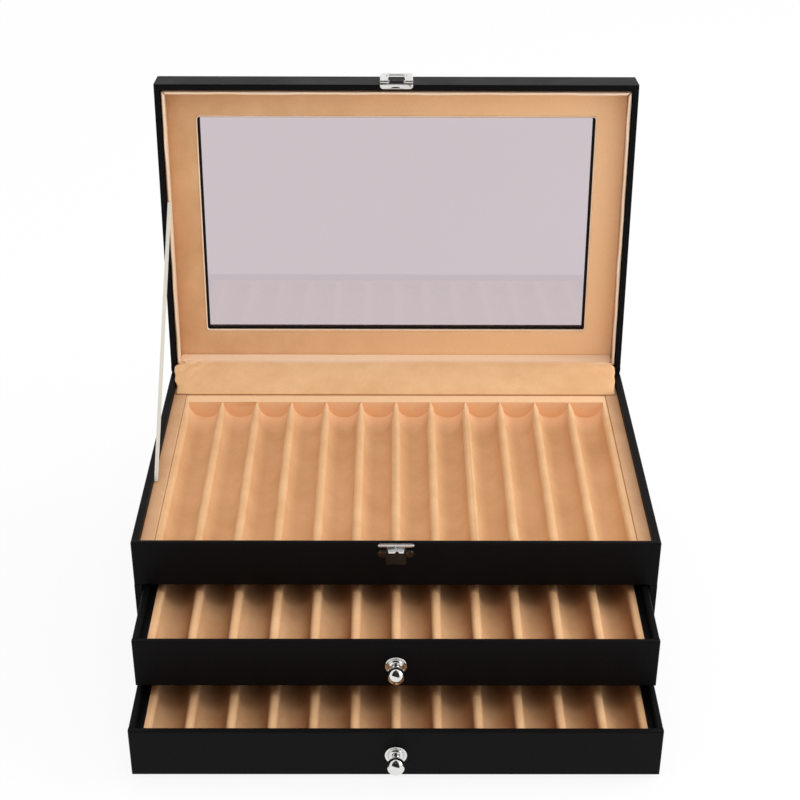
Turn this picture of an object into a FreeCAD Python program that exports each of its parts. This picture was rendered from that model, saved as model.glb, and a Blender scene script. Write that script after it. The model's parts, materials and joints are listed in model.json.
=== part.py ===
"""Pen collector chest: a leatherette case with a scalloped top tray under a glazed lid, and two pen drawers.

Millimetres. +X is the user's right, +Y is the back, +Z is up.  The origin is the centre of the case's underside.
Every piece is drawn in the frame of what carries it (case, lid, hasp or drawer, all closed) and its Placement
then stands that frame where it rests: lid open on its ribbon, hasp loop folded back, drawers part way out.
"""
import FreeCAD, Part
import os
import re

import Sketcher

Vector = FreeCAD.Vector

# ---------------------------------------------------------------- driving dimensions
SIZES = [
    # the case and its boards
    ("case_width", 345.0), ("case_depth", 223.0), ("compartment_height", 34.0),
    ("side_board", 5.0), ("back_board", 5.0), ("bottom_board", 3.0), ("divider_board", 2.6),
    ("fascia_board", 3.0), ("edge_round", 0.9),
    # the scalloped pen trays
    ("slot_count", 12), ("slot_length", 182.0), ("slot_straight", 0.4), ("slot_front_land", 3.0),
    ("ridge_flat", 0.4), ("ridge_round", 3.0), ("tray_side_land", 2.0), ("tray_drop", 5.0),
    ("tray_gap", 0.3), ("side_liner", 9.2),
    # the drawers
    ("drawer_height", 35.7), ("drawer_front_board", 4.0), ("drawer_side_board", 4.0),
    ("drawer_bottom_board", 3.0), ("drawer_side_gap", 1.0), ("drawer_back_gap", 0.3),
    ("slide_gap", 0.3), ("head_gap", 0.7), ("drawer_1_pull", 58.0), ("drawer_2_pull", 97.0),
    # the knobs
    ("rosette_radius", 7.1), ("rosette_rim", 1.1), ("rosette_step_radius", 5.0), ("rosette_height", 2.6),
    ("ball_radius", 5.7), ("ball_reach", 10.3), ("neck_radius", 2.6), ("knob_drop", 0.9),
    ("knob_screw_radius", 1.95), ("knob_screw_head", 3.5), ("knob_screw_head_height", 1.9),
    ("knob_screw_grip", 4.5), ("screw_clearance", 0.15),
    # the lid
    ("lid_height", 24.7), ("lid_wall", 4.0), ("lid_top_board", 4.0), ("lid_liner", 2.5),
    ("lid_liner_drop", 0.5), ("frame_recess", 17.0), ("frame_border", 21.0), ("window_lip", 1.6),
    ("glass_thickness", 1.7), ("glass_lap", 4.0), ("glass_gap", 0.3), ("frame_bevel", 0.8),
    ("rim_gap", 0.6), ("open_angle", 95.0),
    # the two butt hinges on the back
    ("hinge_offset", 1.0), ("hinge_inset", 67.5), ("hinge_length", 26.0), ("leaf_height", 10.0),
    ("leaf_thickness", 0.8), ("knuckle_radius", 1.9), ("knuckle_gap", 0.2), ("knuckle_relief", 0.5),
    ("hinge_pin_radius", 0.95), ("pin_clearance", 0.05), ("hinge_screw_spacing", 16.0),
    # small wood screws
    ("screw_radius", 0.9), ("screw_head_radius", 1.8), ("screw_head_height", 0.45), ("screw_length", 2.6),
    # the hasp on the lid
    ("hasp_width", 23.4), ("hasp_plate_height", 10.0), ("hasp_plate_thickness", 0.8), ("hasp_reach", 1.8),
    ("hasp_knuckle_radius", 1.3), ("hasp_pin_radius", 0.6), ("hasp_rise", 1.5), ("loop_length", 11.2),
    ("loop_thickness", 0.8), ("loop_knuckle", 12.8), ("loop_window_start", 2.7),
    ("loop_window_height", 6.3), ("loop_window_width", 12.6), ("loop_window_taper", 0.9),
    ("loop_corner_round", 2.0), ("hasp_screw_spacing", 17.0), ("loop_angle", 163.0),
    # the catch on the fascia
    ("catch_width", 23.4), ("catch_head_height", 3.2), ("catch_body_width", 13.4), ("catch_height", 16.3),
    ("catch_thickness", 0.6), ("catch_drop", 0.4), ("catch_ear_radius", 3.1), ("catch_ear_spacing", 17.9),
    ("catch_ear_drop", 7.6), ("ramp_width", 11.4), ("ramp_taper", 0.9), ("ramp_drop", 1.0),
    ("ramp_height", 4.8), ("ramp_reach", 3.0), ("catch_screw_head", 2.3),
    # the padded hinge cover and the ribbon stay
    ("soft_gap", 0.3), ("cushion_reach", 24.5), ("cushion_rise", 3.0), ("cushion_nose", 1.2),
    ("cushion_crown_reach", 7.5), ("cushion_crown", 4.8), ("cushion_crown_round", 14.0),
    ("cushion_bow", 60.0), ("ribbon_width", 2.6), ("ribbon_thickness", 0.6),
    ("ribbon_lid_reach", 136.5), ("ribbon_case_reach", 145.0),
]

doc = FreeCAD.newDocument("PenChest")
sheet = doc.addObject("Spreadsheet::Sheet", "Sizes")
for row, (alias, value) in enumerate(SIZES, start=1):
    sheet.set(f"A{row}", alias)
    sheet.set(f"B{row}", str(value))
    sheet.setAlias(f"B{row}", alias)
doc.recompute()

FUNCTIONS = ("cos", "sin", "sqrt", "max", "min")
pieces = []


def bound(text):
    """An expression on the sheet, from a text that names its aliases."""
    return re.sub(r"[a-z][a-z_0-9]*", lambda m: m[0] if m[0] in FUNCTIONS else "Sizes." + m[0], str(text))


def number(text):
    """What an expression comes to now."""
    return float(sheet.evalExpression(bound(text)))


# ---------------------------------------------------------------- places shared by several pieces
HALF_WIDTH = "(case_width / 2)"
FRONT = "(-case_depth / 2)"
BACK = "(case_depth / 2)"
BACK_INSIDE = f"({BACK} - back_board)"
SIDE_INSIDE = f"({HALF_WIDTH} - side_board)"
DRAWER_PITCH = "(slide_gap + drawer_height + head_gap)"
DIVIDER_BOTTOM = f"(bottom_board + {DRAWER_PITCH})"
DRAWER_1_LEVEL = f"({DIVIDER_BOTTOM} + divider_board + slide_gap)"
DRAWER_2_LEVEL = "(bottom_board + slide_gap)"
FLOOR_BOTTOM = f"({DIVIDER_BOTTOM} + divider_board + {DRAWER_PITCH})"
FLOOR_TOP = f"({FLOOR_BOTTOM} + divider_board)"
RIM = f"({FLOOR_BOTTOM} + compartment_height)"
TRAY_HALF = f"({SIDE_INSIDE} - side_liner - tray_gap)"
SLOT_PITCH = f"((2 * {TRAY_HALF} - 2 * tray_side_land) / slot_count)"
SLOT_RADIUS = f"(({SLOT_PITCH} - ridge_flat) / 2 - ridge_round)"
SLOT_DEPTH = f"({SLOT_RADIUS} + ridge_round + slot_straight)"
DRAWER_HALF = f"({SIDE_INSIDE} - drawer_side_gap)"
DRAWER_INSIDE = f"({DRAWER_HALF} - drawer_side_board)"
DRAWER_REAR = f"({BACK_INSIDE} - drawer_back_gap)"
AXIS_Y = f"({BACK} + hinge_offset)"
AXIS_Z = f"({RIM} + rim_gap / 2)"

# in the lid's frame, whose origin is the hinge axis and whose rim faces down
HINGE_SPACING = "(case_width - 2 * hinge_inset)"
LID_BACK = "(-hinge_offset)"
LID_FRONT = f"({LID_BACK} - case_depth)"
LID_RIM = "(rim_gap / 2)"
LID_TOP = f"({LID_RIM} + lid_height)"
LID_BOARD = f"({LID_TOP} - lid_top_board)"
LID_FRAME = f"({LID_RIM} + frame_recess)"
WALL_INSIDE = f"({HALF_WIDTH} - lid_wall)"
LINER_INSIDE = f"({WALL_INSIDE} - lid_liner)"
WINDOW_X = f"({LINER_INSIDE} - frame_border)"
WINDOW_BACK = f"({LID_BACK} - lid_wall - lid_liner - frame_border)"
WINDOW_FRONT = f"({LID_FRONT} + lid_wall + lid_liner + frame_border)"
HASP_Y = f"({LID_FRONT} - hasp_reach)"
HASP_Z = f"({LID_RIM} + hasp_rise)"


def lid_y(y, z):
    """Where a point of the lid's frame stands with the lid open, along Y."""
    return f"({AXIS_Y} + ({y}) * cos(open_angle) + ({z}) * sin(open_angle))"


def lid_z(y, z):
    """Where a point of the lid's frame stands with the lid open, along Z."""
    return f"({AXIS_Z} - ({y}) * sin(open_angle) + ({z}) * cos(open_angle))"


CASE = ("0", "0", "0")
LID = (AXIS_Y, AXIS_Z, "-open_angle")
HASP = (lid_y(HASP_Y, HASP_Z), lid_z(HASP_Y, HASP_Z), "-open_angle - loop_angle")
DRAWERS = {
    "drawer_1": ("-drawer_1_pull", DRAWER_1_LEVEL, "0"),
    "drawer_2": ("-drawer_2_pull", DRAWER_2_LEVEL, "0"),
}


# ---------------------------------------------------------------- how pieces are drawn
def piece(label, frame):
    """A new body, standing in its frame (along Y, along Z, turn about X)."""
    body = doc.addObject("PartDesign::Body", label)
    body.Label = label
    body.AllowCompound = True
    body.Placement = FreeCAD.Placement(Vector(), FreeCAD.Rotation(Vector(1, 0, 0), -1))
    for path, text in zip(("Base.y", "Base.z", "Rotation.Angle"), frame):
        body.setExpression("Placement." + path, bound(text))
    pieces.append(body)
    return body


def sketch_on(body, plane, level):
    """An empty sketch on a plane of the body's origin, moved along that plane's axis to a level."""
    sketch = body.newObject("Sketcher::SketchObject", f"{body.Name}_sketch")
    support = [f for f in body.Origin.OriginFeatures if f.Role == plane + "_Plane"][0]
    sketch.AttachmentSupport = [(support, "")]
    sketch.MapMode = "FlatFace"
    sign = "-" if plane == "XZ" else ""
    sketch.setExpression("AttachmentOffset.Base.z", bound(f"{sign}({level})"))
    return sketch


def hold(sketch, kind, geometry, point, text):
    """Ties one coordinate of a point, or a radius, to an expression."""
    if kind == "Radius":
        index = sketch.addConstraint(Sketcher.Constraint("Radius", geometry, number(text)))
    else:
        index = sketch.addConstraint(Sketcher.Constraint(kind, -1, 1, geometry, point, number(text)))
    name = f"{kind}{index}"
    sketch.renameConstraint(index, name)
    sketch.setExpression("Constraints." + name, bound(text))


def add_circle(sketch, x, y, radius):
    index = sketch.addGeometry(Part.Circle(Vector(number(x), number(y), 0), Vector(0, 0, 1), number(radius)))
    hold(sketch, "DistanceX", index, 3, x)
    hold(sketch, "DistanceY", index, 3, y)
    hold(sketch, "Radius", index, 0, radius)


def arc_between(start, end, radius, anticlockwise):
    """The shorter arc of a radius from one point to another."""
    chord = end - start
    middle = (start + end) * 0.5
    rise = max(radius ** 2 - chord.Length ** 2 / 4, 0) ** 0.5
    across = Vector(-chord.y, chord.x, 0).normalize()
    centre = middle + across * (rise if anticlockwise else -rise)
    first, last = (start, end) if anticlockwise else (end, start)
    x_axis = Vector(1, 0, 0)
    turn = [x_axis.getAngle(p - centre) * (1 if p.y >= centre.y else -1) for p in (first, last)]
    return Part.ArcOfCircle(Part.Circle(centre, Vector(0, 0, 1), radius), turn[0], turn[1])


def add_outline(sketch, corners):
    """A closed outline. A corner is (x, y), or (x, y, radius) where an arc comes to it.

    A positive radius turns anticlockwise. An arc of half a circle or less fits; each corner is tied to its
    own values, and so is each radius.
    """
    points = [Vector(number(c[0]), number(c[1]), 0) for c in corners]
    ends = []
    for index, corner in enumerate(corners):
        start, end = points[index - 1], points[index]
        if len(corner) == 2:
            geometry = sketch.addGeometry(Part.LineSegment(start, end))
            ends.append((geometry, 1, 2))
            continue
        anticlockwise = number(corner[2]) > 0
        geometry = sketch.addGeometry(arc_between(start, end, abs(number(corner[2])), anticlockwise))
        ends.append((geometry, 1, 2) if anticlockwise else (geometry, 2, 1))
    for index, corner in enumerate(corners):
        geometry, _, last = ends[index]
        following, first, _ = ends[(index + 1) % len(corners)]
        sketch.addConstraint(Sketcher.Constraint("Coincident", geometry, last, following, first))
        hold(sketch, "DistanceX", geometry, last, corner[0])
        hold(sketch, "DistanceY", geometry, last, corner[1])
    for (geometry, _, _), corner in zip(ends, corners):
        if len(corner) == 3:
            size = corner[2] if number(corner[2]) > 0 else f"-({corner[2]})"
            hold(sketch, "Radius", geometry, 0, size)


def rectangle(x0, y0, x1, y1):
    return [(x0, y0), (x1, y0), (x1, y1), (x0, y1)]


def pad(body, sketch, length, toward=1):
    """Adds the sketch's outline, thickened along +X, +Y or +Z, or the other way."""
    feature = body.newObject("PartDesign::Pad", f"{body.Name}_pad")
    feature.Profile = sketch
    feature.setExpression("Length", bound(length))
    feature.Reversed = (toward > 0) == ("XZ" in plane_of(sketch))
    body.Tip = feature
    doc.recompute()
    return feature


def pocket(body, sketch, depth, toward=1):
    """Cuts the sketch's outline out of the body, along +X, +Y or +Z, or the other way."""
    before = body.Shape.Volume
    feature = body.newObject("PartDesign::Pocket", f"{body.Name}_pocket")
    feature.Profile = sketch
    feature.setExpression("Length", bound(depth))
    feature.Reversed = (toward > 0) != ("XZ" in plane_of(sketch))
    body.Tip = feature
    doc.recompute()
    if not body.Shape.Volume < before:
        raise ValueError(f"{feature.Name} cuts nothing")
    return feature


def plane_of(sketch):
    return sketch.AttachmentSupport[0][0].Role


def revolve(body, sketch):
    """Turns the sketch's outline about its own horizontal axis."""
    feature = body.newObject("PartDesign::Revolution", f"{body.Name}_revolution")
    feature.Profile = sketch
    feature.ReferenceAxis = (sketch, ["H_Axis"])
    feature.Angle = 360
    body.Tip = feature
    doc.recompute()
    return feature


def row_along_x(body, feature, pitch, count):
    """Repeats a feature at an even pitch along +X."""
    pattern = body.newObject("PartDesign::LinearPattern", f"{body.Name}_row")
    pattern.Originals = [feature]
    axis = [f for f in body.Origin.OriginFeatures if f.Role == "X_Axis"][0]
    pattern.Direction = (axis, [""])
    pattern.setExpression("Length", bound(f"({pitch}) * ({count} - 1)"))
    pattern.setExpression("Occurrences", bound(count))
    body.Tip = pattern
    doc.recompute()


def dress_edges(body, kind, size_name, size, chosen):
    """Rounds or bevels the edges that a test on their centre and the edge picks."""
    base = body.Tip
    edges = enumerate(base.Shape.Edges, start=1)
    names = [f"Edge{index}" for index, edge in edges if chosen(edge.CenterOfMass, edge)]
    if not names:
        raise ValueError(f"{body.Name} has no such edge")
    feature = body.newObject(f"PartDesign::{kind}", f"{body.Name}_{kind.lower()}")
    feature.Base = (base, names)
    feature.setExpression(size_name, bound(size))
    body.Tip = feature
    doc.recompute()


def round_edges(body, radius, chosen):
    dress_edges(body, "Fillet", "Radius", radius, chosen)


def bevel_edges(body, size, chosen):
    dress_edges(body, "Chamfer", "Size", size, chosen)


def near(a, b):
    return abs(a - b) < 0.01


def board(label, frame, x, y, z):
    """A plain board between two values along each axis."""
    body = piece(label, frame)
    sketch = sketch_on(body, "XY", z[0])
    add_outline(sketch, rectangle(x[0], y[0], x[1], y[1]))
    pad(body, sketch, f"({z[1]}) - ({z[0]})")
    return body


# ---------------------------------------------------------------- the case
def case_side(label, side):
    """A side board. Its top front corner is stepped back behind the fascia."""
    body = piece(label, CASE)
    outer = f"{side} * {HALF_WIDTH}"
    start = outer if side < 0 else SIDE_INSIDE
    sketch = sketch_on(body, "YZ", start)
    add_outline(sketch, [
        (FRONT, "0"), (BACK, "0"), (BACK, RIM), (f"{FRONT} + fascia_board", RIM),
        (f"{FRONT} + fascia_board", FLOOR_BOTTOM), (FRONT, FLOOR_BOTTOM),
    ])
    pad(body, sketch, "side_board")
    edge, rim = number(outer), number(RIM)
    round_edges(body, "edge_round", lambda c, e: near(c.x, edge) and (near(c.z, rim) or near(c.y, number(BACK))))


def make_case():
    board("case_bottom", CASE, (f"-{SIDE_INSIDE}", SIDE_INSIDE), (FRONT, BACK_INSIDE), ("0", "bottom_board"))
    case_side("case_left_side", -1)
    case_side("case_right_side", 1)
    back = make_case_back()
    fascia = make_fascia()
    inside = (f"-{SIDE_INSIDE}", SIDE_INSIDE)
    board("compartment_floor", CASE, inside, (f"{FRONT} + fascia_board", BACK_INSIDE), (FLOOR_BOTTOM, FLOOR_TOP))
    divider_top = f"({DIVIDER_BOTTOM} + divider_board)"
    board("drawer_divider", CASE, inside, (FRONT, BACK_INSIDE), (DIVIDER_BOTTOM, divider_top))
    liner_x = (f"({TRAY_HALF} + tray_gap)", SIDE_INSIDE)
    liner_y = (f"{FRONT} + fascia_board", BACK_INSIDE)
    liner_z = (FLOOR_TOP, f"{RIM} - tray_drop + edge_round / 2")
    left = board("compartment_left_liner", CASE, (f"-{liner_x[1]}", f"-{liner_x[0]}"), liner_y, liner_z)
    right = board("compartment_right_liner", CASE, liner_x, liner_y, liner_z)
    for body, inner in ((left, f"-{liner_x[0]}"), (right, liner_x[0])):
        round_edges(body, "edge_round", lambda c, e: near(c.x, number(inner)) and near(c.z, number(liner_z[1])))
    return back, fascia


def hinge_reliefs(body, frame_y, frame_z):
    """Clears both hinge barrels out of a board that the axis runs beside."""
    sketch = sketch_on(body, "YZ", f"-({HINGE_SPACING} + hinge_length) / 2 - knuckle_gap")
    add_circle(sketch, frame_y, frame_z, "knuckle_radius + knuckle_relief")
    cut = pocket(body, sketch, "hinge_length + 2 * knuckle_gap")
    row_along_x(body, cut, HINGE_SPACING, 2)


def make_case_back():
    body = board("case_back", CASE, (f"-{SIDE_INSIDE}", SIDE_INSIDE), (BACK_INSIDE, BACK), ("0", RIM))
    hinge_reliefs(body, AXIS_Y, AXIS_Z)
    return body


def make_fascia():
    """The fixed front of the top compartment."""
    body = board("case_fascia", CASE, (f"-{HALF_WIDTH}", HALF_WIDTH), (FRONT, f"{FRONT} + fascia_board"),
                 (FLOOR_BOTTOM, RIM))
    front, side = number(FRONT), number(HALF_WIDTH)
    round_edges(body, "edge_round", lambda c, e: near(c.y, front) or near(abs(c.x), side) and near(c.z, number(RIM)))
    return body


# ---------------------------------------------------------------- the scalloped pen trays
def pen_tray(label, frame, y0, y1, z0, z1):
    """A padded block with a row of round-bottomed slots between soft ridges, and lands at both ends."""
    body = board(label, frame, (f"-{TRAY_HALF}", TRAY_HALF), (y0, y1), (z0, z1))
    centre = f"(-(slot_count - 1) * {SLOT_PITCH} / 2)"
    left, right = f"({centre} - {SLOT_RADIUS})", f"({centre} + {SLOT_RADIUS})"
    spring = f"({z1} - {SLOT_DEPTH} + {SLOT_RADIUS})"
    sketch = sketch_on(body, "XZ", f"{y0} + slot_front_land")
    add_outline(sketch, [
        (f"{right} + ridge_round", f"{z1} + 1"),
        (f"{left} - ridge_round", f"{z1} + 1"),
        (f"{left} - ridge_round", z1),
        (left, f"{z1} - ridge_round", "-ridge_round"),
        (left, spring),
        (centre, f"{z1} - {SLOT_DEPTH}", SLOT_RADIUS),
        (right, spring, SLOT_RADIUS),
        (right, f"{z1} - ridge_round"),
        (f"{right} + ridge_round", z1, "-ridge_round"),
    ])
    slot = pocket(body, sketch, "slot_length")
    row_along_x(body, slot, SLOT_PITCH, "slot_count")
    return body


# ---------------------------------------------------------------- the lid
def make_lid():
    top = board("lid_window_board", LID, (f"-{HALF_WIDTH}", HALF_WIDTH), (LID_FRONT, LID_BACK), (LID_BOARD, LID_TOP))
    sketch = sketch_on(top, "XY", LID_BOARD)
    lip = "window_lip"
    add_outline(sketch, rectangle(f"-({WINDOW_X} - {lip})", f"{WINDOW_FRONT} + {lip}",
                                  f"{WINDOW_X} - {lip}", f"{WINDOW_BACK} - {lip}"))
    pocket(top, sketch, "lid_top_board")
    upper, half = number(LID_TOP), number(HALF_WIDTH)
    ends = (number(LID_FRONT), number(LID_BACK))
    outer = lambda c: near(abs(c.x), half) or near(c.y, ends[0]) or near(c.y, ends[1])
    round_edges(top, "edge_round", lambda c, e: near(c.z, upper))

    across = (f"-{HALF_WIDTH}", HALF_WIDTH)
    wall_z = (LID_RIM, LID_BOARD)
    front = board("lid_front_wall", LID, across, (LID_FRONT, f"{LID_FRONT} + lid_wall"), wall_z)
    back = board("lid_back_wall", LID, across, (f"{LID_BACK} - lid_wall", LID_BACK), wall_z)
    hinge_reliefs(back, "0", "0")
    along = (f"{LID_FRONT} + lid_wall", f"{LID_BACK} - lid_wall")
    left = board("lid_left_wall", LID, (f"-{HALF_WIDTH}", f"-{WALL_INSIDE}"), along, wall_z)
    right = board("lid_right_wall", LID, (WALL_INSIDE, HALF_WIDTH), along, wall_z)
    rim = number(LID_RIM)
    for body in (front, left, right):
        round_edges(body, "edge_round", lambda c, e: near(c.z, rim) and outer(c))

    liner_z = (f"{LID_RIM} + lid_liner_drop", LID_FRAME)
    board("lid_left_liner", LID, (f"-{WALL_INSIDE}", f"-{LINER_INSIDE}"), along, liner_z)
    board("lid_right_liner", LID, (LINER_INSIDE, WALL_INSIDE), along, liner_z)
    between = (f"-{LINER_INSIDE}", LINER_INSIDE)
    board("lid_front_liner", LID, between, (along[0], f"{along[0]} + lid_liner"), liner_z)
    board("lid_back_liner", LID, between, (f"{along[1]} - lid_liner", along[1]), liner_z)
    make_window(along)
    return back, front


def make_window(along):
    """The lined frame round the window, rebated behind for the pane, and the pane."""
    frame = board("lid_window_frame", LID, (f"-{WALL_INSIDE}", WALL_INSIDE), along, (LID_FRAME, LID_BOARD))
    opening = sketch_on(frame, "XY", LID_FRAME)
    add_outline(opening, rectangle(f"-{WINDOW_X}", WINDOW_FRONT, WINDOW_X, WINDOW_BACK))
    pocket(frame, opening, f"{LID_BOARD} - {LID_FRAME}")
    rebate = sketch_on(frame, "XY", f"{LID_BOARD} - glass_thickness")
    lap = "(glass_lap + glass_gap)"
    add_outline(rebate, rectangle(f"-{WINDOW_X} - {lap}", f"{WINDOW_FRONT} - {lap}",
                                  f"{WINDOW_X} + {lap}", f"{WINDOW_BACK} + {lap}"))
    pocket(frame, rebate, "glass_thickness")
    face, x = number(LID_FRAME), number(WINDOW_X)
    y = (number(WINDOW_FRONT), number(WINDOW_BACK))
    inner = lambda c: near(abs(c.x), x) or near(c.y, y[0]) or near(c.y, y[1])
    round_edges(frame, "frame_bevel", lambda c, e: near(c.z, face) and inner(c))
    board("lid_glass", LID, (f"-{WINDOW_X} - glass_lap", f"{WINDOW_X} + glass_lap"),
          (f"{WINDOW_FRONT} - glass_lap", f"{WINDOW_BACK} + glass_lap"), (f"{LID_BOARD} - glass_thickness", LID_BOARD))


# ---------------------------------------------------------------- screws
def screws(label, frame, plane, seat, inward, centres, head, head_height, length):
    """A group of low-headed screws standing on one face, with the shanks going inward from it."""
    body = piece(label, frame)
    heads = sketch_on(body, plane, seat)
    shanks = sketch_on(body, plane, seat)
    for x, y in centres:
        add_circle(heads, x, y, head)
        add_circle(shanks, x, y, "screw_radius")
    pad(body, heads, head_height, -inward)
    pad(body, shanks, length, inward)
    crown = number(seat) - inward * number(head_height)
    axis = "y" if plane == "XZ" else "z"
    bevel_edges(body, f"{head_height} * 0.6", lambda c, e: near(getattr(c, axis), crown))


def screw_holes(body, plane, level, centres, depth, toward=1):
    """Bores the holes those screws pass through."""
    sketch = sketch_on(body, plane, level)
    for x, y in centres:
        add_circle(sketch, x, y, "screw_radius + pin_clearance")
    pocket(body, sketch, depth, toward)


# ---------------------------------------------------------------- the butt hinges
LEAF_START = "(knuckle_radius + knuckle_relief)"


def hinge_leaf(label, frame, centre, y_face, z0, away, knuckles):
    """A leaf on a back face, below (away -1) or above the axis, with its share of the five knuckles."""
    body = piece(label, frame)
    start = f"({centre} - hinge_length / 2)"
    plate = sketch_on(body, "YZ", start)
    edge = f"({z0} + {away} * {LEAF_START})"
    add_outline(plate, rectangle(y_face, f"{z0} + {away} * leaf_height", f"{y_face} + leaf_thickness", edge))
    pad(body, plate, "hinge_length")
    for index in knuckles:
        low = f"({start} + {index} * hinge_length / 5 + knuckle_gap / 2)"
        barrel = sketch_on(body, "YZ", low)
        add_circle(barrel, "0" if frame is LID else AXIS_Y, z0, "knuckle_radius")
        pad(body, barrel, "hinge_length / 5 - knuckle_gap")
        web = sketch_on(body, "YZ", low)
        add_outline(web, rectangle(y_face, edge, f"{y_face} + leaf_thickness", z0))
        pad(body, web, "hinge_length / 5 - knuckle_gap")
    bore = sketch_on(body, "YZ", f"{start} - 1")
    add_circle(bore, "0" if frame is LID else AXIS_Y, z0, "hinge_pin_radius + pin_clearance")
    pocket(body, bore, "hinge_length + 2")
    return body


def make_hinges(case_back, lid_back):
    case_centres, lid_centres = [], []
    leaves = {"case": [], "lid": []}
    for name, side in (("left", -1), ("right", 1)):
        centre = f"({side} * {HINGE_SPACING} / 2)"
        leaves["case"].append(hinge_leaf(f"{name}_hinge_case_leaf", CASE, centre, BACK, AXIS_Z, -1, (0, 2, 4)))
        leaves["lid"].append(hinge_leaf(f"{name}_hinge_lid_leaf", LID, centre, LID_BACK, "0", 1, (1, 3)))
        pin = piece(f"{name}_hinge_pin", CASE)
        sketch = sketch_on(pin, "YZ", f"{centre} - hinge_length / 2")
        add_circle(sketch, AXIS_Y, AXIS_Z, "hinge_pin_radius")
        pad(pin, sketch, "hinge_length")
        for end in (-1, 1):
            x = f"{centre} + {end} * hinge_screw_spacing / 2"
            case_centres.append((x, f"{AXIS_Z} - ({LEAF_START} + leaf_height) / 2"))
            lid_centres.append((x, f"({LEAF_START} + leaf_height) / 2"))
    size = ("screw_head_radius", "screw_head_height", "screw_length + leaf_thickness")
    screws("hinge_case_screws", CASE, "XZ", f"{BACK} + leaf_thickness", -1, case_centres, *size)
    screws("hinge_lid_screws", LID, "XZ", f"{LID_BACK} + leaf_thickness", -1, lid_centres, *size)
    for board_behind, face, centres, held in ((case_back, BACK, case_centres, leaves["case"]),
                                              (lid_back, LID_BACK, lid_centres, leaves["lid"])):
        screw_holes(board_behind, "XZ", face, centres, "screw_length + screw_clearance", -1)
        for leaf, pair in zip(held, (centres[:2], centres[2:])):
            screw_holes(leaf, "XZ", f"{face} - 1", pair, "leaf_thickness + 2")


# ---------------------------------------------------------------- the hasp and its catch
def make_hasp(lid_front):
    """A plate on the lid's front, a pin, and a loop that snaps over the catch."""
    plate = piece("hasp_plate", LID)
    sheet_metal = sketch_on(plate, "XZ", f"{LID_FRONT} - hasp_plate_thickness")
    half = "hasp_width / 2"
    lower = f"({HASP_Z} + hasp_knuckle_radius + knuckle_gap)"
    add_outline(sheet_metal, rectangle(f"-{half}", lower, half, f"{HASP_Z} + hasp_plate_height"))
    pad(plate, sheet_metal, "hasp_plate_thickness")
    arm = "(hasp_width - loop_knuckle) / 2 - knuckle_gap"
    for start in (f"-{half}", "loop_knuckle / 2 + knuckle_gap"):
        barrel = sketch_on(plate, "YZ", start)
        add_circle(barrel, HASP_Y, HASP_Z, "hasp_knuckle_radius")
        pad(plate, barrel, arm)
        web = sketch_on(plate, "YZ", start)
        face = f"{LID_FRONT} - hasp_plate_thickness"
        shoulder = f"{HASP_Z} + hasp_knuckle_radius * 0.6"
        add_outline(web, [(HASP_Y, HASP_Z), (HASP_Y, shoulder), (face, shoulder), (face, lower),
                          (LID_FRONT, lower), (LID_FRONT, HASP_Z)])
        pad(plate, web, arm)
    bore = sketch_on(plate, "YZ", f"-{half} - 1")
    add_circle(bore, HASP_Y, HASP_Z, "hasp_pin_radius + pin_clearance")
    pocket(plate, bore, "hasp_width + 2")
    centres = [(f"{side} * hasp_screw_spacing / 2", f"({lower} + {HASP_Z} + hasp_plate_height) / 2")
               for side in (-1, 1)]
    screw_holes(plate, "XZ", f"{LID_FRONT} - hasp_plate_thickness - 1", centres, "hasp_plate_thickness + 2")
    screw_holes(lid_front, "XZ", LID_FRONT, centres, "screw_length + screw_clearance")
    screws("hasp_screws", LID, "XZ", f"{LID_FRONT} - hasp_plate_thickness", 1, centres,
           "screw_head_radius", "screw_head_height", "screw_length + hasp_plate_thickness")
    pin = piece("hasp_pin", LID)
    rod = sketch_on(pin, "YZ", f"-{half}")
    add_circle(rod, HASP_Y, HASP_Z, "hasp_pin_radius")
    pad(pin, rod, "hasp_width")
    make_loop()


def make_loop():
    """The loop hangs from the hasp pin. A tapered window in it drops over the catch's ramp."""
    loop = piece("hasp_loop", HASP)
    clear = "(hasp_knuckle_radius + knuckle_gap)"
    face = sketch_on(loop, "XZ", "-loop_thickness / 2")
    half = "hasp_width / 2"
    add_outline(face, rectangle(f"-{half}", "-loop_length", half, f"-{clear}"))
    pad(loop, face, "loop_thickness")
    low, high = number("-loop_length"), number(f"-{clear}")
    round_edges(loop, "loop_corner_round", lambda c, e: near(abs(c.x), number(half)) and near(e.Length, number("loop_thickness"))
                and near(c.z, low))
    window = sketch_on(loop, "XZ", "-loop_thickness")
    top, bottom = "-loop_window_start", "-loop_window_start - loop_window_height"
    wide, narrow = "loop_window_width / 2", "loop_window_width / 2 - loop_window_taper"
    add_outline(window, [(f"-{wide}", top), (f"-({narrow})", bottom), (narrow, bottom), (wide, top)])
    pocket(loop, window, "loop_thickness * 2")
    barrel = sketch_on(loop, "YZ", "-loop_knuckle / 2")
    add_circle(barrel, "0", "0", "hasp_knuckle_radius")
    pad(loop, barrel, "loop_knuckle")
    web = sketch_on(loop, "YZ", "-loop_knuckle / 2")
    add_outline(web, rectangle("-loop_thickness / 2", f"-{clear}", "loop_thickness / 2", "0"))
    pad(loop, web, "loop_knuckle")
    bore = sketch_on(loop, "YZ", "-loop_knuckle / 2 - 1")
    add_circle(bore, "0", "0", "hasp_pin_radius + pin_clearance")
    pocket(loop, bore, "loop_knuckle + 2")


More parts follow.
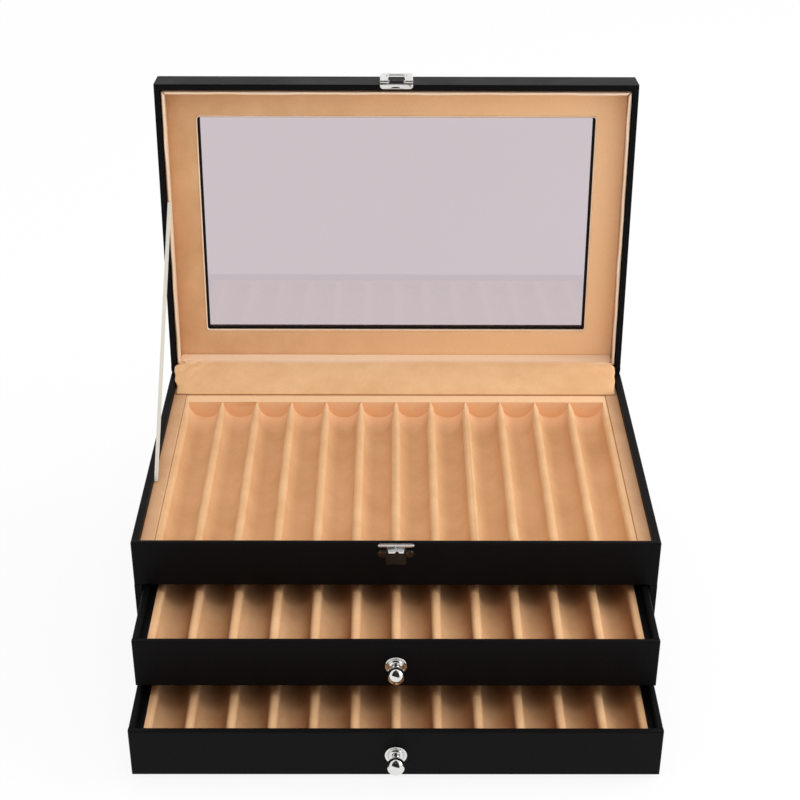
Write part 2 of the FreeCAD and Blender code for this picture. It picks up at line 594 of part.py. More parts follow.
def make_catch(fascia):
    """A pressed plate on the fascia: a wide head, two screw ears and a ramp for the loop to snap under."""
    catch = piece("catch_plate", CASE)
    top = f"({RIM} - catch_drop)"
    neck = f"({top} - catch_head_height)"
    face = f"{FRONT} - catch_thickness"
    outline = sketch_on(catch, "XZ", face)
    head, body_half = "catch_width / 2", "catch_body_width / 2"
    add_outline(outline, [
        (f"-{head}", top), (f"-{head}", neck), (f"-{body_half}", neck), (f"-{body_half}", f"{top} - catch_height"),
        (body_half, f"{top} - catch_height"), (body_half, neck), (head, neck), (head, top),
    ])
    pad(catch, outline, "catch_thickness")
    ear_z = f"{top} - catch_ear_drop"
    for side in (-1, 1):
        ear = sketch_on(catch, "XZ", face)
        add_circle(ear, f"{side} * catch_ear_spacing / 2", ear_z, "catch_ear_radius")
        pad(catch, ear, "catch_thickness")
    ramp = sketch_on(catch, "YZ", "-ramp_width / 2")
    start = f"({top} - ramp_drop)"
    lip = f"({start} - ramp_height)"
    add_outline(ramp, [
        (face, start), (f"{face} - ramp_reach", lip), (f"{face} - ramp_reach + catch_thickness", lip),
        (face, f"{start} - catch_thickness * 2"),
    ])
    pad(catch, ramp, "ramp_width")
    trim_start = f"{face} - ramp_reach - 1"
    trim = sketch_on(catch, "XZ", trim_start)
    for side in (-1, 1):
        edge = f"{side} * ramp_width / 2"
        add_outline(trim, [(edge, start), (f"{side} * (ramp_width / 2 - ramp_taper)", lip),
                           (f"{side} * (ramp_width / 2 - ramp_taper)", f"{lip} - 1"),
                           (f"{side} * (ramp_width / 2 + 1)", f"{lip} - 1"), (f"{side} * (ramp_width / 2 + 1)", start)])
    pocket(catch, trim, "ramp_reach + 1")
    centres = [(f"{side} * catch_ear_spacing / 2", ear_z) for side in (-1, 1)]
    screw_holes(catch, "XZ", f"{face} - 1", centres, "catch_thickness + 2")
    screw_holes(fascia, "XZ", FRONT, centres, "fascia_board")
    screws("catch_screws", CASE, "XZ", face, 1, centres, "catch_screw_head", "screw_head_height",
           "catch_thickness + fascia_board - tray_gap")


# ---------------------------------------------------------------- soft pieces
def make_cushion():
    """The padded cover over the hinge line, from the tray's back land up to the lid's liner."""
    body = piece("hinge_cushion", CASE)
    half = f"({LINER_INSIDE} - soft_gap)"
    land = f"({RIM} - tray_drop + edge_round / 2 + soft_gap)"
    rim_front = f"({LID_RIM} - soft_gap)"
    liner = f"({LID_BACK} - lid_wall - lid_liner - soft_gap)"
    barrel_top = lid_z(f"-{LEAF_START}", rim_front)
    sketch = sketch_on(body, "YZ", f"-{half}")
    add_outline(sketch, [
        (f"{BACK} - cushion_reach", land),
        (f"{BACK_INSIDE} - soft_gap", land),
        (f"{BACK_INSIDE} - soft_gap", f"{RIM} + soft_gap"),
        (f"{AXIS_Y} - {LEAF_START}", f"{RIM} + soft_gap"),
        (f"{AXIS_Y} - {LEAF_START}", barrel_top),
        (lid_y(f"-{LEAF_START}", rim_front), barrel_top),
        (lid_y(liner, rim_front), lid_z(liner, rim_front)),
        (lid_y(liner, f"{LID_RIM} + cushion_rise"), lid_z(liner, f"{LID_RIM} + cushion_rise")),
        (f"{BACK} - cushion_crown_reach", f"{RIM} + cushion_crown", "cushion_crown_round"),
        (f"{BACK} - cushion_reach", f"{land} + cushion_nose", "cushion_bow"),
    ])
    pad(body, sketch, f"2 * {half}")


def make_ribbon():
    """The ribbon that stops the lid, from the seam beside the case's left liner to the lid's."""
    body = piece("stay_ribbon", CASE)
    sketch = sketch_on(body, "YZ", f"-{SIDE_INSIDE} + soft_gap")
    low_y, low_z = f"({BACK} - ribbon_case_reach)", f"({RIM} - tray_drop + edge_round / 2 + soft_gap)"
    high = (f"({LID_BACK} - ribbon_lid_reach)", f"({LID_RIM} + lid_liner_drop - soft_gap)")
    high_y, high_z = lid_y(*high), lid_z(*high)
    add_outline(sketch, [
        (low_y, low_z), (high_y, high_z), (f"{high_y} - ribbon_thickness", high_z),
        (f"{low_y} - ribbon_thickness", low_z),
    ])
    pad(body, sketch, "ribbon_width")


# ---------------------------------------------------------------- the drawers
def make_drawer(name, frame):
    """A shallow leatherette box with a scalloped tray, and a ball knob on a stepped rosette."""
    inner_front = f"({FRONT} + drawer_front_board)"
    inner_back = f"({DRAWER_REAR} - drawer_side_board)"
    full = ("0", "drawer_height")
    front = board(f"{name}_front", frame, (f"-{DRAWER_HALF}", DRAWER_HALF), (FRONT, inner_front), full)
    bore = sketch_on(front, "XZ", FRONT)
    knob_z = "(drawer_height / 2 - knob_drop)"
    add_circle(bore, "0", knob_z, "knob_screw_radius + screw_clearance")
    pocket(front, bore, "drawer_front_board")
    sink = sketch_on(front, "XZ", f"{inner_front} - knob_screw_head_height - screw_clearance")
    add_circle(sink, "0", knob_z, "knob_screw_head + screw_clearance")
    pocket(front, sink, "knob_screw_head_height + screw_clearance")
    face, half, top = number(FRONT), number(DRAWER_HALF), number("drawer_height")
    round_edges(front, "edge_round", lambda c, e: e.Length > half / 4 and near(c.y, face) or near(abs(c.x), half)
                and near(c.y, face) or near(c.z, top) and near(c.y, number(inner_front)))
    along = (inner_front, DRAWER_REAR)
    left = board(f"{name}_left_side", frame, (f"-{DRAWER_HALF}", f"-{DRAWER_INSIDE}"), along, full)
    right = board(f"{name}_right_side", frame, (DRAWER_INSIDE, DRAWER_HALF), along, full)
    for body in (left, right):
        round_edges(body, "edge_round", lambda c, e: near(c.z, top) and e.Length > half / 4)
    inside = (f"-{DRAWER_INSIDE}", DRAWER_INSIDE)
    board(f"{name}_back", frame, inside, (inner_back, DRAWER_REAR), full)
    board(f"{name}_bottom", frame, inside, (inner_front, inner_back), ("0", "drawer_bottom_board"))
    tray_z = ("drawer_bottom_board", "(drawer_height - tray_drop)")
    lining = (f"({TRAY_HALF} + tray_gap)", DRAWER_INSIDE)
    board(f"{name}_left_lining", frame, (f"-{lining[1]}", f"-{lining[0]}"), (inner_front, inner_back), tray_z)
    board(f"{name}_right_lining", frame, lining, (inner_front, inner_back), tray_z)
    pen_tray(f"{name}_pen_tray", frame, f"({inner_front} + tray_gap)", f"({inner_back} - tray_gap)", *tray_z)
    make_knob(name, (f"{FRONT} + {frame[0]}", f"{frame[1]} + {knob_z}", "0"))


def make_knob(name, frame):
    """Turned pieces on the Y axis, which points into the drawer: the rosette, the ball on its neck, the screw."""
    rosette = piece(f"{name}_rosette", frame)
    sketch = sketch_on(rosette, "YZ", "0")
    hole = "(knob_screw_radius + screw_clearance)"
    add_outline(sketch, [
        ("0", hole), ("0", "rosette_radius"), ("-rosette_rim / 2", "rosette_radius"),
        ("-rosette_rim", "rosette_radius - rosette_rim / 2"), ("-rosette_rim", "rosette_step_radius"),
        ("-(rosette_rim + rosette_height) / 2", "rosette_step_radius - rosette_rim / 4"),
        ("-rosette_height", "neck_radius + rosette_rim / 2"), ("-rosette_height", hole),
    ])
    revolve(rosette, sketch)
    knob = piece(f"{name}_knob", frame)
    sketch = sketch_on(knob, "YZ", "0")
    join = "sqrt(ball_radius * ball_radius - neck_radius * neck_radius)"
    add_outline(sketch, [
        ("-rosette_height", hole), ("-rosette_height", "neck_radius"),
        (f"-ball_reach + {join}", "neck_radius"),
        ("-ball_reach", "ball_radius", "ball_radius"), ("-ball_reach - ball_radius", "0", "ball_radius"),
        ("-rosette_height - knob_screw_grip", "0"), ("-rosette_height - knob_screw_grip", hole),
    ])
    revolve(knob, sketch)
    screw = piece(f"{name}_knob_screw", frame)
    sketch = sketch_on(screw, "YZ", "0")
    seat = "(drawer_front_board - knob_screw_head_height)"
    add_outline(sketch, [
        (f"{seat} + knob_screw_head_height", "0"), (f"{seat} + knob_screw_head_height", "knob_screw_head"),
        (seat, "knob_screw_head"), (seat, "knob_screw_radius"),
        ("-rosette_height - knob_screw_grip + screw_clearance", "knob_screw_radius"),
        ("-rosette_height - knob_screw_grip + screw_clearance", "0"),
    ])
    revolve(screw, sketch)


# ---------------------------------------------------------------- build, check and write
case_back, case_fascia = make_case()
pen_tray("top_pen_tray", CASE, f"({FRONT} + fascia_board + tray_gap)", f"({BACK_INSIDE} - tray_gap)", FLOOR_TOP,
         f"({RIM} - tray_drop)")
make_catch(case_fascia)
make_cushion()
make_ribbon()
lid_back, lid_front = make_lid()
make_hinges(case_back, lid_back)
make_hasp(lid_front)
for drawer_name, drawer_frame in DRAWERS.items():
    make_drawer(drawer_name, drawer_frame)
doc.recompute()

for item in doc.Objects:
    if "Invalid" in item.State or "Error" in item.State:
        raise ValueError(f"{item.Name} did not build: {item.State}")
for body in pieces:
    if body.Shape.isNull() or not body.Shape.isValid() or not body.Shape.Solids:
        raise ValueError(f"{body.Label} has no valid shape")

os.makedirs("parts", exist_ok=True)
for body in pieces:
    body.Shape.exportStep(f"parts/{body.Label}.step")
    print(f"{body.Label}: {len(body.Shape.Solids)} solid, {body.Shape.Volume:.1f} mm3")
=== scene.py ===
import json
import math

import bmesh
import bpy
from mathutils import Matrix, Vector

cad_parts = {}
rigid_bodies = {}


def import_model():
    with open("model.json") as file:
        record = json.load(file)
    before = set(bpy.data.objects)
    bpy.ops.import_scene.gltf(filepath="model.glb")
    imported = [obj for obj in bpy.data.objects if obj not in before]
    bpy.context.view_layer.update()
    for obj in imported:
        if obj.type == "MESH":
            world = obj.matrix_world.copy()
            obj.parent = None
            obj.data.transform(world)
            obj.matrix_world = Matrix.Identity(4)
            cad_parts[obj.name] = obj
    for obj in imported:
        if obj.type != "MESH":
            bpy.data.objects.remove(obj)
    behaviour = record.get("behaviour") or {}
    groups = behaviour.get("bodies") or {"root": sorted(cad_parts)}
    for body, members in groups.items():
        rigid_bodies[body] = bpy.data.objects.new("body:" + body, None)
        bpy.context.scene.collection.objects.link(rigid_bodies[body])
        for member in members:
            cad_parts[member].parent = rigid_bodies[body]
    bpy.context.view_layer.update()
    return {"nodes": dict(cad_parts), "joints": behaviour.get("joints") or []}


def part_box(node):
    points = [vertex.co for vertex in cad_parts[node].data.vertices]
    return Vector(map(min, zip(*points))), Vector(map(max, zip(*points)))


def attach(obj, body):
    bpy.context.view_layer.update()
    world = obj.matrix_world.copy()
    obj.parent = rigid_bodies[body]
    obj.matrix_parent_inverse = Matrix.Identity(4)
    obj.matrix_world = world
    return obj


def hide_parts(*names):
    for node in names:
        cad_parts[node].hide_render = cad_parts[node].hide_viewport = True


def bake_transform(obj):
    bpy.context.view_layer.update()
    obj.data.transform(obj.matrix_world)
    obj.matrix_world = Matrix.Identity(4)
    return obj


for leftover in list(bpy.data.objects):
    bpy.data.objects.remove(leftover)

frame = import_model()

MM = 0.001
NODES = frame["nodes"]
JOINTS = {joint["name"]: joint for joint in frame["joints"]}
scene = bpy.context.scene


# ---------------------------------------------------------------- finishes
MIX_SOCKETS, MIX_RESULT = (0, 6, 7), 2  # of a mix node set to colours: factor and two colours, then result
# how far the suede's painted shade looks for nearby surfaces
PAINTED_SHADE_REACH = 36 * MM
PEBBLE_HEIGHT, PORE_HEIGHT = 0.09 * MM, 0.02 * MM
TUFT_HEIGHT, FIBRE_HEIGHT = 0.12 * MM, 0.05 * MM


def bare_finish(name):
    """A material with nothing in its node tree yet."""
    finish = bpy.data.materials.new(name)
    finish.use_nodes = True
    finish.node_tree.nodes.clear()
    return finish, finish.node_tree


def new_finish(name):
    """An empty material, with its shader and its output already joined."""
    finish, tree = bare_finish(name)
    output = tree.nodes.new("ShaderNodeOutputMaterial")
    shader = tree.nodes.new("ShaderNodeBsdfPrincipled")
    tree.links.new(shader.outputs[0], output.inputs["Surface"])
    return finish, tree, shader


def add_node(tree, kind, feeds=None, **settings):
    """A shader node with its settings; feeds gives each input a value or another node's output."""
    made = tree.nodes.new("ShaderNode" + kind)
    for name, value in settings.items():
        setattr(made, name, value)
    for socket, source in (feeds or {}).items():
        if isinstance(source, bpy.types.NodeSocket):
            tree.links.new(source, made.inputs[socket])
        else:
            made.inputs[socket].default_value = source
    return made


def object_place(tree, stretch=(1, 1, 1)):
    """Object coordinates, stretched along the piece's axes."""
    place = add_node(tree, "TexCoord").outputs["Object"]
    return add_node(tree, "Mapping", {"Vector": place, "Scale": stretch}).outputs[0]


def cloudy(tree, place, scale, detail=3.0, roughness=0.55):
    """Soft noise from 0 to 1."""
    feeds = {"Vector": place, "Scale": scale, "Detail": detail, "Roughness": roughness}
    return add_node(tree, "TexNoise", feeds).outputs["Fac"]


def graded(tree, factor, stops):
    """A ramp from a factor to a colour or a grey; stops is (position, colour or grey), ..."""
    ramp = add_node(tree, "ValToRGB", {"Fac": factor})
    elements = ramp.color_ramp.elements
    while len(elements) < len(stops):
        elements.new(0.5)
    for element, (position, tone) in zip(elements, stops):
        element.position = position
        element.color = (*tone, 1) if isinstance(tone, tuple) else (tone, tone, tone, 1)
    return ramp.outputs["Color"]


def blended(tree, factor, below, above, how="MIX"):
    """Two colours mixed; each of the three may be a value or another node's output."""
    mixed = add_node(tree, "Mix", data_type="RGBA", blend_type=how)
    for index, source in zip(MIX_SOCKETS, (factor, below, above)):
        if isinstance(source, bpy.types.NodeSocket):
            tree.links.new(source, mixed.inputs[index])
        elif index:
            mixed.inputs[index].default_value = (*source, 1)
        else:
            mixed.inputs[index].default_value = source
    return mixed.outputs[MIX_RESULT]


def relief(tree, height, depth, under=None, strength=1.0):
    """A bump of a real depth, over the relief under it."""
    feeds = {"Height": height, "Distance": depth, "Strength": strength}
    if under:
        feeds["Normal"] = under
    return add_node(tree, "Bump", feeds).outputs["Normal"]


def softened(tree, radius):
    """Normals rounded over the edges, and how near an edge a point is, from 0 to 1."""
    rounded = add_node(tree, "Bevel", {"Radius": radius}, samples=6).outputs["Normal"]
    straight = add_node(tree, "NewGeometry").outputs["True Normal"]
    facing = add_node(tree, "VectorMath", {0: rounded, 1: straight}, operation="DOT_PRODUCT").outputs["Value"]
    edge = add_node(tree, "MapRange", {"Value": facing, "From Min": 0.995, "From Max": 0.8}).outputs[0]
    return rounded, edge


def leatherette(name, black, sheen_of_grain, wear):
    """Fine-grained coated cloth, glued round boards: pebbled, and rubbed paler along the edges."""
    finish, tree, shader = new_finish(name)
    place = object_place(tree)
    warp = add_node(tree, "VectorMath", {0: place}, operation="ADD")
    drift = add_node(tree, "TexNoise", {"Vector": place, "Scale": 420.0, "Detail": 1.0}).outputs["Color"]
    nudge = add_node(tree, "VectorMath", {0: drift, "Scale": 0.0009}, operation="SCALE")
    tree.links.new(nudge.outputs[0], warp.inputs[1])
    pebbles = add_node(
        tree, "TexVoronoi", {"Vector": warp.outputs[0], "Scale": 950.0, "Smoothness": 0.35}, feature="SMOOTH_F1"
    ).outputs["Distance"]
    pores = cloudy(tree, place, 3600.0, 1.0)
    rounded, edge = softened(tree, 0.9 * MM)
    patches = cloudy(tree, place, 22.0, 4.0)
    rubbed = add_node(tree, "Math", {0: edge, 1: patches}, operation="MULTIPLY").outputs[0]
    body = blended(tree, graded(tree, patches, ((0.3, 0.0), (0.7, 1.0))), black, tuple(1.35 * c for c in black))
    tops = graded(tree, pebbles, ((0.15, 1.12), (0.75, 0.82)))
    worn = blended(tree, rubbed, blended(tree, 1.0, body, tops, "MULTIPLY"), wear)
    tree.links.new(worn, shader.inputs["Base Color"])
    gloss_span = {"Value": patches, "From Min": 0.3, "From Max": 0.7, "To Min": 0.46, "To Max": 0.58}
    gloss = add_node(tree, "MapRange", gloss_span)
    tree.links.new(gloss.outputs[0], shader.inputs["Roughness"])
    grain = relief(tree, pebbles, -PEBBLE_HEIGHT, rounded, 0.8)
    tree.links.new(relief(tree, pores, PORE_HEIGHT, grain, 0.5), shader.inputs["Normal"])
    shader.inputs["Specular IOR Level"].default_value = sheen_of_grain
    return finish


def suede(name, low, high, painted_shade=None, right_light=0.3, painted_light=None):
    """Short-napped cloth: cloudy where the nap lies one way or the other, with a fibre-fine tooth.

    A shade tone, if given, is what the colour darkens to in narrow places that an ambient-occlusion
    node finds: painted shade; the number after it is how much less the sides that face right darken,
    painting light from the right. A paler tone with an axis and two places along it is painted light: between
    them the colour comes to that tone.
    """
    finish, tree, shader = new_finish(name)
    place = object_place(tree)
    cloud = cloudy(tree, place, 38.0, 5.0, 0.6)
    fibres = cloudy(tree, place, 2300.0, 2.0, 0.7)
    tufts = cloudy(tree, place, 620.0, 2.0, 0.6)
    nap = blended(tree, graded(tree, cloud, ((0.32, 0.0), (0.68, 1.0))), low, high)
    speckle = graded(tree, fibres, ((0.25, 0.86), (0.75, 1.08)))
    pile = blended(tree, 1.0, nap, speckle, "MULTIPLY")
    # painted shade: darker where the ambient-occlusion node finds surfaces nearby, less on right-facing sides,
    # as if lit from the right
    if painted_shade:
        open_sky = add_node(tree, "AmbientOcclusion", {"Distance": PAINTED_SHADE_REACH}, samples=6).outputs["AO"]
        facing = add_node(tree, "TexCoord").outputs["Normal"]
        rightward = add_node(tree, "SeparateXYZ", {"Vector": facing}).outputs["X"]
        lit_share = add_node(tree, "Math", {0: rightward, 1: right_light, 2: open_sky}, operation="MULTIPLY_ADD").outputs[0]
        pressed = graded(tree, lit_share, ((0.08, painted_shade), (0.78, (1.0, 1.0, 1.0))))
        pile = blended(tree, 1.0, pile, pressed, "MULTIPLY")
    # painted light: paler along one axis, towards where the light falls stronger
    if painted_light:
        tone, axis, start, end = painted_light
        along = add_node(tree, "SeparateXYZ", {"Vector": place}).outputs[axis]
        share = add_node(tree, "MapRange", {"Value": along, "From Min": start, "From Max": end}).outputs[0]
        pile = blended(tree, share, pile, blended(tree, 1.0, tone, speckle, "MULTIPLY"))
    tree.links.new(pile, shader.inputs["Base Color"])
    rounded, _ = softened(tree, 0.7 * MM)
    soft = relief(tree, tufts, TUFT_HEIGHT, rounded, 0.35)
    tree.links.new(relief(tree, fibres, FIBRE_HEIGHT, soft, 0.5), shader.inputs["Normal"])
    rough = add_node(tree, "MapRange", {"Value": tufts, "To Min": 0.82, "To Max": 0.97})
    tree.links.new(rough.outputs[0], shader.inputs["Roughness"])
    shader.inputs["Sheen Weight"].default_value = 0.08
    shader.inputs["Sheen Roughness"].default_value = 0.45
    shader.inputs["Sheen Tint"].default_value = (1.0, 0.9, 0.78, 1)
    shader.inputs["Specular IOR Level"].default_value = 0.1
    return finish


def plated(name, tone, polish=(0.07, 0.2)):
    """Plate over stamped steel, faintly rubbed; polish is how rough it is at its smooth and its dull spots."""
    finish, tree, shader = new_finish(name)
    place = object_place(tree)
    rubs = cloudy(tree, object_place(tree, (1, 1, 9)), 380.0, 3.0)
    spots = cloudy(tree, place, 160.0, 3.0)
    rounded, _ = softened(tree, 0.25 * MM)
    shade = blended(tree, graded(tree, spots, ((0.35, 0.0), (0.7, 1.0))), tuple(0.93 * c for c in tone), tone)
    tree.links.new(shade, shader.inputs["Base Color"])
    polish_span = {"Value": rubs, "From Min": 0.3, "From Max": 0.75, "To Min": polish[0], "To Max": polish[1]}
    rough = add_node(tree, "MapRange", polish_span)
    tree.links.new(rough.outputs[0], shader.inputs["Roughness"])
    tree.links.new(relief(tree, rubs, 0.006 * MM, rounded, 0.4), shader.inputs["Normal"])
    shader.inputs["Metallic"].default_value = 1.0
    return finish


def window_pane(name, tint):
    """Clear float glass with a faint tint, a little dust and a slow ripple."""
    finish, tree, shader = new_finish(name)
    place = object_place(tree)
    dust = cloudy(tree, place, 900.0, 4.0, 0.7)
    dust_span = {"Value": dust, "From Min": 0.45, "From Max": 0.8, "To Min": 0.0, "To Max": 0.06}
    rough = add_node(tree, "MapRange", dust_span)
    tree.links.new(rough.outputs[0], shader.inputs["Roughness"])
    tint_drift = blended(tree, cloudy(tree, place, 6.0, 1.0), tint, tuple(min(1.0, 1.04 * c) for c in tint))
    tree.links.new(tint_drift, shader.inputs["Base Color"])
    ripple = cloudy(tree, place, 14.0, 1.0)
    tree.links.new(relief(tree, ripple, 0.05 * MM, None, 0.2), shader.inputs["Normal"])
    shader.inputs["Transmission Weight"].default_value = 1.0
    shader.inputs["IOR"].default_value = 1.5
    return finish


def woven_ribbon(name, low, high):
    """Narrow woven tape with ribs across it."""
    finish, tree, shader = new_finish(name)
    place = object_place(tree)
    wave = {"Vector": place, "Scale": 380.0, "Distortion": 0.4}
    ribs = add_node(tree, "TexWave", wave, bands_direction="Z").outputs["Fac"]
    yarn = cloudy(tree, place, 1500.0, 2.0)
    tree.links.new(blended(tree, yarn, low, high), shader.inputs["Base Color"])
    weave = relief(tree, ribs, 0.08 * MM, None, 0.7)
    tree.links.new(relief(tree, yarn, 0.03 * MM, weave, 0.5), shader.inputs["Normal"])
    rough = add_node(tree, "MapRange", {"Value": ribs, "To Min": 0.55, "To Max": 0.8})
    tree.links.new(rough.outputs[0], shader.inputs["Roughness"])
    shader.inputs["Sheen Weight"].default_value = 0.2
    return finish


TAN_LOW, TAN_HIGH = (0.76, 0.435, 0.215), (0.86, 0.525, 0.28)
# tone of the trays' painted shade in narrow places, and how much less of it right-facing sides take: painted
# light from the right
TRAY_PAINTED_SHADE, TRAY_RIGHT_LIGHT = (0.95, 0.91, 0.85), 0.25
FINISHES = {
    "leatherette": leatherette("black_leatherette", (0.0032, 0.0028, 0.003), 0.08, (0.022, 0.021, 0.022)),
    "dark_board": leatherette("black_lining_paper", (0.0035, 0.003, 0.003), 0.06, (0.018, 0.017, 0.017)),
    "suede": suede("tan_suede", TAN_LOW, TAN_HIGH),
    "ribbon": woven_ribbon("cream_ribbon", (0.62, 0.58, 0.50), (0.74, 0.70, 0.61)),
    "plated_steel": plated("bright_plate", (0.80, 0.79, 0.77)),
    "pane": window_pane("window_glass", (0.58, 0.51, 0.54)),
}
# the case's other suede: a little painted shade in its narrow places
TRAY_SUEDE = suede("tan_tray_suede", (0.62, 0.345, 0.18), (0.70, 0.415, 0.235), TRAY_PAINTED_SHADE, TRAY_RIGHT_LIGHT)
# the pressed top tray: painted shade in its slots, and painted light that pales the slots' back ends and the
# ledge behind them
PRESSED_SUEDE = suede("tan_pressed_suede", (0.70, 0.40, 0.195), (0.79, 0.48, 0.255), TRAY_PAINTED_SHADE, TRAY_RIGHT_LIGHT,
                      painted_light=((0.92, 0.59, 0.34), "Y", 52.0 * MM, 76.8 * MM))
# the drawers' suede: strong painted shade in the slots and under the case front, lighter on right-facing sides:
# painted light from the right
DRAWER_SUEDE = suede("tan_drawer_suede", TAN_LOW, TAN_HIGH, painted_shade=(0.33, 0.215, 0.14), right_light=0.42)
# the hinge pad: painted light that pales its flap along the lid's liner
PAD_SUEDE = suede("tan_pad_suede", TAN_LOW, TAN_HIGH, painted_light=((0.95, 0.71, 0.50), "Y", 111 * MM, 119 * MM))
# the lid's suede: painted light that pales it from left to right
LID_SUEDE = suede("tan_lid_suede", (0.66, 0.375, 0.185), (0.76, 0.46, 0.245),
                  painted_light=((0.96, 0.60, 0.33), "X", -150 * MM, 160 * MM))
# the rolled edges: a paler tone that paints the highlight they catch, with painted shade in their hollows, less
# on right-facing sides
ROLLED_SUEDE = suede("pale_rolled_suede", (0.90, 0.66, 0.46), (0.95, 0.74, 0.55),
                     painted_shade=(0.36, 0.22, 0.14), right_light=0.4)
# painted shade: a nearly black plate for parts that stand in dark reflections; the real metal is likely as
# bright as the rest
SHADED_PLATE = plated("shade_painted_plate", (0.05, 0.047, 0.045), (0.3, 0.45))
SATIN_PLATE = plated("satin_plate", (0.84, 0.83, 0.81), (0.26, 0.36))
# painted shade: the screw heads' plate darkened to stand in their dark reflections
SCREW_PLATE = plated("shade_painted_screw_heads", (0.13, 0.12, 0.115), (0.12, 0.2))
SUEDES = {"lid": LID_SUEDE, "hinge": FINISHES["suede"], "drawer": DRAWER_SUEDE}  # by a node's first word


def dress(thing, finish):
    """Gives a piece one finish all over."""
    thing.data.materials.clear()
    thing.data.materials.append(finish)


def slot_of(node):
    """The finish that a CAD node came with, without the number that an import may add."""
    return NODES[node].data.materials[0].name.split(".")[0]


for node, thing in NODES.items():
    is_suede = slot_of(node) == "suede"
    dress(thing, SUEDES.get(node.split("_")[0], TRAY_SUEDE) if is_suede else FINISHES[slot_of(node)])


# ---------------------------------------------------------------- modelling by hand
# points nearer than this are merged: of a fresh skin, and of a bevelled one
WELD, SLIVER = 0.01 * MM, 0.002 * MM
FOLD_ANGLE = math.radians(35)  # edges turned more than this are sharp


def pick(thing, edit=False):
    """Makes a piece the only one that the next operators act on, and opens it in edit mode if asked."""
    bpy.ops.object.select_all(action="DESELECT")
    thing.select_set(True)
    bpy.context.view_layer.objects.active = thing
    if edit:
        bpy.ops.object.mode_set(mode="EDIT")
        bpy.ops.mesh.select_all(action="SELECT")


def begin(name, kind, **settings):
    """A primitive as the start of a piece, open in edit mode with all of it selected."""
    bpy.ops.object.select_all(action="DESELECT")
    getattr(bpy.ops.mesh, f"primitive_{kind}_add")(**settings)
    thing = bpy.context.object
    thing.name = thing.data.name = name
    bpy.ops.object.mode_set(mode="EDIT")
    return thing


def select_edges(chosen):
    """Selects those of the piece's edges that a test on middle and direction picks."""
    bpy.ops.mesh.select_mode(type="EDGE")
    bpy.ops.mesh.select_all(action="DESELECT")
    mesh = bmesh.from_edit_mesh(bpy.context.object.data)
    for edge in mesh.edges:
        one, other = (vertex.co for vertex in edge.verts)
        edge.select_set(bool(chosen((one + other) / 2, one - other)))
    mesh.select_flush_mode()
    bmesh.update_edit_mesh(bpy.context.object.data)


def push(move):
    """Extrudes what is selected, and moves the new part."""
    bpy.ops.mesh.extrude_region_move(TRANSFORM_OT_translate={"value": move})


def close_up(thing, place=None, smooth=35):
    """Ends a piece's modelling: one clean closed skin with faces out, moved to its place, shaded smooth."""
    bpy.ops.mesh.select_mode(type="VERT")
    bpy.ops.mesh.select_all(action="SELECT")
    bpy.ops.mesh.remove_doubles(threshold=WELD)
    bpy.ops.mesh.normals_make_consistent(inside=False)
    bpy.ops.object.mode_set(mode="OBJECT")
    if place is not None:
        thing.data.transform(place)
    bpy.ops.object.shade_smooth_by_angle(angle=math.radians(smooth))
    return thing


def in_mm(pairs):
    """Pairs of lengths in mm, as metres."""
    return [(first * MM, second * MM) for first, second in pairs]


def use_modifier(thing, kind, **settings):
    """Adds a modifier, sets it and applies it."""
    modifier = thing.modifiers.new(kind.lower(), kind)
    for name, value in settings.items():
        setattr(modifier, name, value)
    bpy.context.view_layer.objects.active = thing
    bpy.ops.object.modifier_apply(modifier=modifier.name)


def shape_ring(thing, ring, corners):
    """Puts one ring of a run's points, counted from where the run began, at its corners."""
    mesh = bmesh.from_edit_mesh(thing.data)
    mesh.verts.ensure_lookup_table()
    first = ring * len(corners)
    for vertex, corner in zip(mesh.verts[first:first + len(corners)], corners):
        vertex.co = corner
    bmesh.update_edit_mesh(thing.data)


def outline_of(name, corners):
    """A flat face with these corners, open in edit mode and selected, as the start of a run."""
    thing = begin(name, "circle", vertices=len(corners), radius=0.01, fill_type="NGON")
    shape_ring(thing, 0, corners)
    bpy.ops.mesh.select_all(action="SELECT")
    return thing


def strip_of(name, section, start, end):
    """A length of one cross-section: its corners are (y, z), and it runs along X from start to end."""
    thing = outline_of(name, [(start, y, z) for y, z in section])
    push((end - start, 0, 0))
    return thing


def turned(name, profile, place, sides=56):
    """A piece turned on a lathe: profile is (radius, height), ... up its axis, which is Z until it is placed."""
    radius, height = profile[0]
    thing = begin(name, "circle", vertices=sides, radius=radius, fill_type="NGON", location=(0, 0, height))
    bpy.ops.object.mode_set(mode="OBJECT")
    bpy.ops.object.transform_apply(location=True)
    bpy.ops.object.mode_set(mode="EDIT")
    for next_radius, next_height in profile[1:]:
        push((0, 0, next_height - height))
        size = next_radius / radius
        bpy.ops.transform.resize(value=(size, size, 1), center_override=(0, 0, next_height))
        radius, height = next_radius, next_height
    return close_up(thing, place)


def block(name, low, high):
    """A plain block between two corners in mm, open in edit mode, as the start of a pressed part."""
    low, high = Vector(low) * MM, Vector(high) * MM
    thing = begin(name, "cube", size=1, location=(0, 0, 0))
    bpy.ops.transform.resize(value=high - low)
    bpy.ops.transform.translate(value=(low + high) / 2)
    return thing


def round_corners(chosen, radius, segments=5):
    """Rounds the edges that a test on middle and direction picks."""
    select_edges(chosen)
    bpy.ops.mesh.bevel(offset=radius * MM, segments=segments, affect="EDGES")


def prism(name, outline, start, end):
    """A cutter: an outline of (x, z) in mm, run along Y."""
    thing = outline_of(name, [Vector((x, start, z)) * MM for x, z in outline])
    push((0, (end - start) * MM, 0))
    return close_up(thing)


def cut_away(thing, cutters):
    """Takes each cutter's shape out of a piece, and throws the cutter away."""
    for cutter in cutters:
        use_modifier(thing, "BOOLEAN", operation="DIFFERENCE", solver="EXACT", object=cutter)
        bpy.data.objects.remove(cutter)


